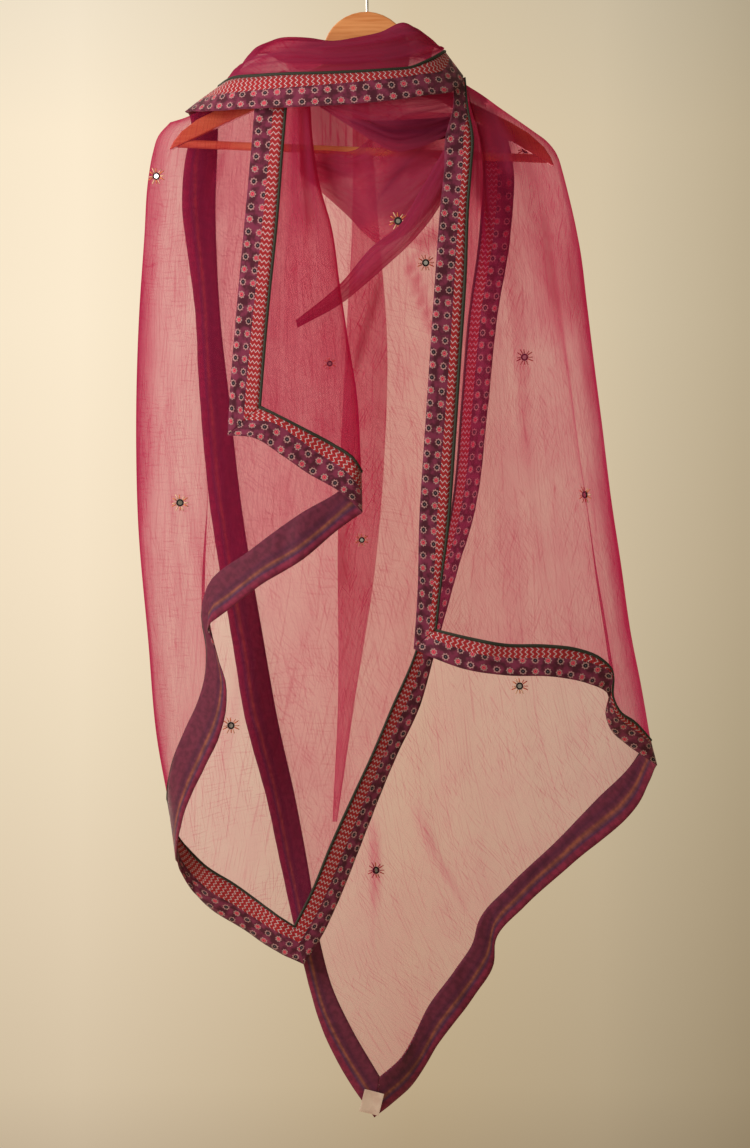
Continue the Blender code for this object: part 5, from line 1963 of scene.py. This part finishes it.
# The hanging stretches.
PANELS = {
    "left_front": PanelForm(
        top=(Run(LEFT_FRONT_TOP, (0.0, 1.0), (0.0, 1.0), -5.0),),
        bottom=A_HEM_PIPING, left=LEFT_PIPING, right=LEFT_FOLD,
        swell=(-0.3, -0.7), reach=(-3.0, 1.2),
        folds=((0, 0), (0.2, 0.3), (0.4, -0.2), (0.6, 0.2), (0.8, 0), (1, 0)),
        threads=((4, 35), (16, 38), (4, 0), (16, 0)), size=(26, 60),
        pleats=(Pleats(1.6, 0.16, 0.8, 0.2, 0.5),),
        plies=1.55,
        fold_plies=0.45,
        gathers=(
            Gather((-7.9, -18.5), (-8.3, -47.3), 0.6, 0.9),
            Gather((-5.3, -19.0), (-1.3, -49.0), 0.6, 0.9, -0.4),
            Gather((-4.5, -24.0), (-2.2, -41.0), 1.0, 0.6),
            Gather((-6.6, -20.0), (-6.0, -44.0), 0.5, 0.5, 0.2),
            Gather((-6.6, -15.0), (-6.2, -33.0), 1.8, 2.0),
        ),
        creases=(
            Crease((-8.3, -17.0), (-9.0, -44.0), 0.35, 0.28, 0.3),
            Crease((-6.2, -20.0), (-4.2, -47.0), 0.5, -0.22, -0.4),
        ),
    ),
    "left_return": PanelForm(
        top=(
            Run(LEFT_RIDGE, (0.0, 0.005, 0.04, 0.12, 0.22, 0.32, 0.44, 0.56), RETURN_RIDGE, 4.0),
            Run(
                LEFT_NECK_FRONT, (0.68, 0.8, 0.9, 0.96, 0.993, 1.0),
                (0.15, 0.35, 0.55, 0.8, 0.97, 1.0), -10.0,
            ),
        ),
        bottom=A_RETURN_PIPING, left=LEFT_OUTLINE, right=LEFT_FOLD,
        swell=(-1.7, 0.8), reach=(5.0, 1.2),
        folds=(
            (0, 0), (0.04, 0), (0.12, 0.2), (0.22, -0.2), (0.32, 0.2), (0.44, 0.3), (0.56, 0),
            (0.68, 0.3), (0.8, 0), (0.9, 0.2), (0.96, 0), (1, 0),
        ),
        threads=((50, 62), (16, 38), (61, 0), (16, 0)), size=(64, 90),
        pleats=(Pleats(3.2, 0.22, 1.0, 0.1, 0.35), Pleats(7.5, 0.07, 1.5, 0.6, 0.25)),
        gathers=(
            Gather((-22.2, -20.6), (-23.8, -38.0), 0.8, 0.9),
            Gather((-15.3, -21.4), (-17.6, -27.7), 0.5, 0.9),
            Gather((-9.0, -56.0), (-8.6, -63.0), 0.5, 0.8),
            Gather((-24.2, -32.0), (-24.4, -64.0), 1.3, 1.6),
            Gather((-19.0, -19.0), (-14.0, -30.0), 3.0, 0.7),
            Gather((-20.0, -57.0), (-17.5, -70.0), 0.5, 0.7),
            Gather((-5.0, -20.0), (-3.6, -50.0), 0.7, 0.6),
            Gather((-18.5, -20.5), (-20.5, -44.0), 0.4, 0.5),
        ),
        plies=1.15,
        creases=(
            Crease((-19.9, -57.6), (-17.5, -69.5), 0.45, 0.45, 0.3),
            Crease((-22.0, -58.6), (-21.0, -64.0), 0.4, 0.35),
            Crease((-15.3, -21.4), (-17.8, -28.5), 0.6, 0.5, 0.4),
            Crease((-9.0, -56.0), (-8.6, -64.0), 0.35, 0.3),
            Crease((-20.5, -36.0), (-21.5, -50.0), 0.7, -0.35, 0.5),
            Crease((-14.0, -30.0), (-15.5, -58.0), 0.8, 0.30, -0.8),
        ),
    ),
    "left_back": PanelForm(
        top=(
            Run(LEFT_RIDGE, (0.0, 0.004, 0.03, 0.08, 0.16, 0.24, 0.33, 0.42), RETURN_RIDGE, 3.0),
            Run(
                LEFT_NECK_BACK, (0.52, 0.62, 0.72, 0.82, 0.91, 1.0),
                (0.15, 0.32, 0.49, 0.66, 0.83, 1.0), -15.0,
            ),
        ),
        bottom=C_HEM_PIPING, left=LEFT_OUTLINE, right=C_EDGE_PIPING,
        swell=(1.5, 0.4), reach=(5.0, -8.0),
        folds=(
            (0, 0), (0.08, 0), (0.16, 0.3), (0.24, -0.2), (0.33, 0.2), (0.42, 0), (0.52, 0.3), (0.62, 0),
            (0.72, 0.2), (0.82, 0), (1, 0),
        ),
        threads=((60, 62), (86, 100), (66, 0), (86, 0)), size=(60, 96),
        pleats=(Pleats(2.6, 0.24, 0.9, 0.4, 0.2), Pleats(6.2, 0.08, 1.4, 0.1, 0.1)),
        gathers=(
            Gather((-12.0, -70.0), (-16.5, -92.0), 0.7, 0.5),
            Gather((4.4, -33.0), (7.1, -41.2), 0.42, 2.4, 0.0, 0.05),
            Gather((5.0, -31.8), (8.4, -30.6), 1.1, 2.6, 0.0, 0.05),
            Gather((2.0, -30.0), (-3.2, -50.0), 0.9, 0.5),
            Gather((-0.5, -28.0), (-2.0, -80.0), 0.7, 0.5, 0.5),
            Gather((-6.4, -12.0), (-3.0, -24.5), 3.2, 5.5, 0.0, 0.02),
            Gather((-1.0, -12.0), (5.0, -24.0), 3.4, 4.0, 0.0, 0.02),
        ),
        creases=(
            Crease((-12.0, -70.0), (-16.5, -92.0), 0.7, 0.40, 0.5),
            Crease((-6.0, -68.0), (-9.5, -97.0), 0.6, -0.35, 0.4),
            Crease((-2.0, -30.0), (-4.5, -78.0), 0.8, 0.35, -0.7),
        ),
    ),
    "right_front": PanelForm(
        top=(
            Run(RIGHT_NECK_FRONT, (0.0, 0.04, 0.09, 0.15, 0.24), (0.0, 0.25, 0.5, 0.75, 0.9), -6.0),
            Run(RIGHT_RIDGE, (0.34, 0.46, 0.6, 0.74, 0.88, 0.96, 0.993, 1.0), SHOULDER, 5.0),
        ),
        bottom=B_HEM_PIPING, left=RIGHT_PIPING, right=RIGHT_OUTLINE,
        swell=(-1.6, -1.8), reach=(-8.0, 6.0),
        folds=(
            (0, 0), (0.04, 0.2), (0.09, 0), (0.15, -0.2), (0.24, 0.4), (0.34, -0.3), (0.46, 0.3),
            (0.6, -0.2), (0.74, 0.3), (0.88, 0), (1, 0),
        ),
        threads=((84, 58), (52, 64), (84, 0), (52, 0)), size=(64, 96),
        pleats=(Pleats(3.1, 0.20, 0.9, 0.3, 0.35), Pleats(7.1, 0.07, 1.6, 0.2, 0.25)),
        gathers=(
            Gather((11.7, -16.6), (11.0, -60.0), 0.8, 1.5, 0.2),
            Gather((10.8, -15.2), (12.6, -30.0), 0.9, 3.0),
            Gather((10.4, -15.0), (13.0, -16.4), 1.2, 5.0, 0.0, 0.05),
            Gather((12.0, -16.4), (15.0, -23.0), 1.8, 3.0),
            Gather((12.6, -15.6), (15.8, -26.0), 0.9, 1.6),
            Gather((14.6, -30.0), (17.0, -60.0), 0.8, 0.7, -0.8),
            Gather((21.6, -28.0), (25.0, -52.0), 0.9, 0.8, 0.5),
            Gather((19.0, -26.0), (22.0, -48.0), 0.5, 0.5, 0.5),
            Gather((26.2, -58.0), (28.6, -76.0), 0.9, 0.7),
            Gather((16.0, -18.0), (22.4, -44.0), 3.2, 1.9),
            Gather((13.4, -17.0), (15.0, -40.0), 2.0, 0.8),
        ),
        plies=1.15,
        creases=(
            Crease((12.0, -16.0), (13.6, -34.0), 0.45, 0.5, 0.5),
            Crease((14.6, -19.0), (18.0, -40.0), 0.7, -0.35, -0.6),
            Crease((11.0, -22.6), (16.0, -23.4), 0.35, 0.35),
            Crease((17.0, -42.0), (21.0, -74.0), 0.8, 0.35, 0.8),
            Crease((23.0, -40.0), (25.0, -66.0), 0.7, -0.30, 0.5),
            Crease((12.5, -44.0), (13.0, -72.0), 0.6, 0.30, -0.4),
        ),
    ),
    "right_back": PanelForm(
        top=(
            Run(
                NECK_BACK_LINE, (0.0, 0.07, 0.15, 0.23, 0.31, 0.39, 0.46, 0.53),
                (0.0, 0.134, 0.269, 0.403, 0.537, 0.671, 0.806, 0.94), -20.0,
            ),
            Run(RIGHT_RIDGE, (0.6, 0.67, 0.75, 0.83, 0.91, 0.965, 0.993, 1.0), SHOULDER, 4.0),
        ),
        bottom=D_HEM_PIPING, left=D_EDGE_PIPING, right=RIGHT_OUTLINE,
        swell=(2.6, 2.8), reach=(-10.0, 6.0),
        folds=(
            (0, 0), (0.07, 0.3), (0.15, -0.2), (0.23, 0.3), (0.31, 0.4), (0.39, -0.2), (0.46, 0.5), (0.53, 0),
            (0.6, 0.4), (0.67, 0), (0.75, 0.3), (0.83, 0), (0.91, 0.2), (0.965, 0), (1, 0),
        ),
        threads=((0, 112), (52, 64), (0, 0), (50, 0)), size=(120, 170),
        pleats=(Pleats(3.6, 0.26, 0.9, 0.7, 0.15), Pleats(8.3, 0.08, 1.5, 0.3, 0.1)),
        gathers=(
            Gather((0.4, -93.0), (0.9, -107.0), 0.5, 1.5, -0.3, 0.4),
            Gather((4.4, -91.0), (12.0, -106.5), 0.42, 0.9, 0.6, 0.4),
            Gather((-6.0, -40.0), (-3.0, -100.0), 0.9, 0.4, -0.9),
        ),
        creases=(
            Crease((0.9, -95.0), (1.1, -112.0), 0.4, 0.4),
            Crease((5.4, -94.0), (11.8, -106.5), 0.6, 0.45, 0.5),
            Crease((7.0, -60.0), (4.0, -96.0), 0.9, -0.4, 0.8),
            Crease((16.0, -66.0), (19.0, -98.0), 0.8, 0.4, 0.7),
            Crease((21.0, -78.0), (25.0, -93.0), 0.6, -0.3),
            Crease((-6.0, -40.0), (-3.0, -100.0), 0.9, 0.35, -0.9),
        ),
    ),
}

# The stretches gathered or folded about the neck, the chest and the back.
LOFTS = {
    "collar_cloth": LoftForm(
        (COLLAR_PIPING, COLLAR_BELLY, COLLAR_RIDGE, COLLAR_INSIDE), (140, 40), plies=4.0,
        pleats=(Pleats(3.1, 0.24, 2.6, 0.1, 2.4), Pleats(7.5, 0.10, 4.0, 0.5, 1.4)),
        gathers=(
            Gather((-9.7, -11.9), (-1.6, -10.2), 0.28, 3.0, 0.2, 0.4),
            Gather((-0.6, -13.0), (7.4, -10.3), 0.35, 2.6, 0.3, 0.4),
            Gather((1.0, -9.6), (6.6, -9.6), 0.3, 3.0, -0.3, 0.4),
            Gather((-12.6, -12.6), (-6.0, -9.4), 0.9, -1.3, -0.5, 0.3),
        ),
    ),
    "neck_back": LoftForm(
        (NECK_BACK_OUTSIDE, NECK_BACK_RIDGE, NECK_BACK_INSIDE), (70, 24), plies=2.0,
        pleats=(Pleats(3.5, 0.16, 2.2, 0.4, 1.0),),
    ),
    "neck_inner": LoftForm(
        (NECK_INNER_TOP, NECK_INNER_EDGE), (60, 26), plies=3.6,
        pleats=(Pleats(5.4, 0.12, 2.0, 0.8, 2.2),),
        gathers=(
            Gather((-6.0, -16.8), (9.4, -15.8), 1.3, 4.0, -0.3, 0.02),
            Gather((-4.8, -18.2), (3.2, -22.3), 0.35, 2.0, 0.1, 0.05),
            Gather((3.0, -22.3), (8.8, -20.6), 0.35, 2.0, 0.0, 0.05),
        ),
    ),
    "chest_swag": LoftForm(
        (SWAG_TOP, SWAG_EDGE), (70, 56), plies=3.2,
        pleats=(Pleats(2.4, 0.22, 1.6, 0.3, 0.6), Pleats(5.4, 0.08, 2.4, 0.9, 0.4)),
        gathers=(
            Gather((-5.2, -21.4), (-2.9, -28.0), 0.3, 1.6),
            Gather((9.4, -21.5), (0.5, -30.0), 2.4, 4.0, 0.0, 0.3),
            Gather((7.0, -19.5), (1.5, -28.0), 0.8, 2.0, 0.5),
            Gather((-1.6, -19.0), (1.4, -30.0), 0.8, 1.0, -0.3),
            Gather((-4.6, -22.4), (-0.6, -31.0), 1.7, 2.2, 0.0, 0.1),
            Gather((7.6, -20.6), (0.2, -29.0), 0.22, 2.0, 0.5, 0.3),
            Gather((8.8, -23.6), (2.6, -31.0), 0.22, 2.0, 0.4, 0.3),
        ),
    ),
    "swag_fold": LoftForm(
        (SWAG_FOLD_UPPER, SWAG_FOLD_LOWER), (70, 20), roll=0.7, plies=4.6,
        pleats=(Pleats(1.5, 0.12, 1.2, 0.2, 1.0), Pleats(4.0, 0.05, 1.2, 0.7, 1.4)),
        gathers=(Gather((-8.0, -37.0), (-2.6, -33.6), 2.6, -2.7, 0.0, 0.02),),
    ),
    "back_pleat": LoftForm(
        (BACK_PLEAT_LEFT, BACK_PLEAT_RIGHT), (90, 12), roll=-0.3, plies=2.9,
        pleats=(Pleats(1.2, 0.06, 1.0, 0.2, 0.3),),
        gathers=(
            Gather((2.0, -34.0), (-1.6, -47.0), 0.5, 1.5, 0.2),
            Gather((-2.4, -50.0), (-2.8, -72.0), 0.8, 1.0),
        ),
    ),
}

# The stretches of border: the stretch and side each is sewn to, its outer and inner lines, whether the
# print is in front, how far along the print begins, and how far in its zigzags do.
BORDERS = (
    Border("left_strip", "left_front", Side.LEFT, LEFT_EDGE, LEFT_PIPING, True, 0.0, 2.15),
    Border("a_hem", "left_front", Side.BOTTOM, A_HEM_OUTER, A_HEM_PIPING, True, 35.0, 2.4),
    Border("a_return", "left_return", Side.BOTTOM, A_RETURN_OUTER, A_RETURN_PIPING, False, 50.0),
    Border("c_hem", "left_back", Side.BOTTOM, C_HEM_OUTER, C_HEM_PIPING, True, 80.0, 2.5),
    Border("c_edge", "left_back", Side.RIGHT, C_EDGE_OUTER, C_EDGE_PIPING, True, 0.4, 2.2),
    Border("right_strip", "right_front", Side.LEFT, RIGHT_EDGE, RIGHT_PIPING, True, 0.3, 2.2),
    Border("b_hem", "right_front", Side.BOTTOM, B_HEM_OUTER, B_HEM_PIPING, True, 60.4, 2.15),
    Border("d_hem", "right_back", Side.BOTTOM, D_HEM_OUTER, D_HEM_PIPING, False, 0.2),
    Border("d_edge", "right_back", Side.LEFT, D_EDGE_OUTER, D_EDGE_PIPING, False, 0.7),
    Border("collar", "collar_cloth", None, COLLAR_EDGE, COLLAR_PIPING, True, 0.5, 2.4, 150),
    Border(
        "neck_gather", "chest_swag", None, NECK_GATHER_EDGE, NECK_GATHER_TOP, False, 0.1,
        stations=120, ripple=0.13, ripple_rate=5.0,
    ),
)

# Each stretch's shape, the size and area of its cut in metres, what it rests on and how it is held.
CUTS = (
    SheerCloth("left_front", PANELS["left_front"], (0.13, 0.40), 0.030, "left_return", "hung"),
    SheerCloth("left_return", PANELS["left_return"], (0.37, 0.72), 0.145, "hanger_board", "hung"),
    SheerCloth("left_back", PANELS["left_back"], (0.37, 0.92), 0.290, "hanger_board", "hung"),
    SheerCloth("right_front", PANELS["right_front"], (0.28, 0.63), 0.125, "hanger_board", "hung"),
    SheerCloth("right_back", PANELS["right_back"], (0.52, 1.12), 0.430, "hanger_board", "hung"),
    SheerCloth("collar_cloth", LOFTS["collar_cloth"], (0.11, 0.32), 0.026, "hanger_board", "gathered"),
    SheerCloth("neck_back", LOFTS["neck_back"], (0.055, 0.15), 0.0075, "hanger_board", "gathered"),
    SheerCloth("neck_inner", LOFTS["neck_inner"], (0.07, 0.16), 0.009, "chest_swag", "gathered"),
    SheerCloth("chest_swag", LOFTS["chest_swag"], (0.135, 0.16), 0.0165, "left_return", "gathered"),
    SheerCloth("swag_fold", LOFTS["swag_fold"], (0.06, 0.24), 0.0075, "chest_swag", "folded"),
    SheerCloth("back_pleat", LOFTS["back_pleat"], (0.05, 0.80), 0.030, "right_back", "folded"),
)

# The sewn mirrors: the stretch each is on, where, how large, and how far off the cloth.
MIRRORS = (
    SewnMirror("left_return", -22.9, -24.6),
    SewnMirror("chest_swag", 3.2, -29.9, 1.05, 0.45),
    SewnMirror("left_return", -4.1, -45.2, 0.75),
    SewnMirror("left_return", -20.1, -60.1),
    SewnMirror("left_back", -1.0, -64.3, 0.8),
    SewnMirror("left_back", -14.8, -84.0),
    SewnMirror("right_back", 17.1, -44.0),
    SewnMirror("right_front", 23.6, -59.3),
    SewnMirror("right_back", 16.7, -80.3),
    SewnMirror("right_back", 0.9, -100.5),
    SewnMirror("left_back", 6.2, -33.9),
    SewnMirror("right_back", 17.4, -21.4),
)


@dataclass
class Stole:
    """The whole stole: its sheer stretches, their borders and piping, and the sewn mirrors."""

    finishes: dict[str, Material]
    cuts: tuple[SheerCloth, ...] = CUTS
    borders: tuple[Border, ...] = BORDERS
    spots: tuple[SewnMirror, ...] = MIRRORS

    def stretch(self, cloth: SheerCloth) -> None:
        """Makes one stretch and the borders and piping sewn to it, and logs their faces.

        Args:
            cloth: the stretch.
        """
        piece = cloth.build(self.finishes["sheer"])
        trims = []
        for border in self.borders:
            if border.cloth == cloth.node:
                trims += border.build(cloth, self.finishes)
        LOG.info("%s: %d faces", piece.name, len(piece.data.polygons))
        for trim in trims:
            LOG.info("%s: %d faces", trim.name, len(trim.data.polygons))

    def mirrors(self) -> None:
        """Sews on the sun motifs."""
        cloths = {cloth.node: cloth for cloth in self.cuts}
        motif = SunMotif()
        pattern = motif.build(self.finishes)
        for number, spot in enumerate(self.spots, 1):
            copy = motif.sew(pattern, f"sun_motif_{number}", spot, cloths[spot.node])
            LOG.info("%s: %d faces", copy.name, len(copy.data.polygons))
        bpy.data.objects.remove(pattern)

    def build(self) -> None:
        """Makes every stretch with its trims, and then the mirrors."""
        for cloth in self.cuts:
            self.stretch(cloth)
        self.mirrors()


def main() -> None:
    """Builds the stole, dresses the hanger and sets up the studio."""
    logging.basicConfig(level=logging.INFO, format="%(name)s: %(message)s")
    bpy.context.scene.cycles.transparent_max_bounces = 64
    finishes = {
        "sheer": SheerFinish().make(),
        "print": PrintFinish().make(),
        "reverse": ReverseFinish().make(),
        "piping": ThreadFinish("piping_cord_dark_green", "333c30", "1a2019").make(),
        "mirror": MetalFinish("mirror_glass", "d8dce0", 0.12).make(),
        "ink thread": ThreadFinish("ink_embroidery_thread", "1c1c20", "0c0c10", 0.06).make(),
        "peach thread": ThreadFinish("peach_embroidery_thread", "fbe2c4", "e0b48c", 0.06).make(),
        "rust thread": ThreadFinish("rust_embroidery_thread", "f09a60", "c86a38", 0.06).make(),
    }
    Stole(finishes).build()
    label = Label().build(LabelFinish().make())
    LOG.info("%s: %d faces", label.name, len(label.data.polygons))
    Hanger().dress(WoodFinish().make(), MetalFinish("bright_steel_wire", "b4b4b0", 0.28).make())
    LOG.info("hanger: wood and steel")
    Studio().build()


if __name__ == "__main__":
    main()
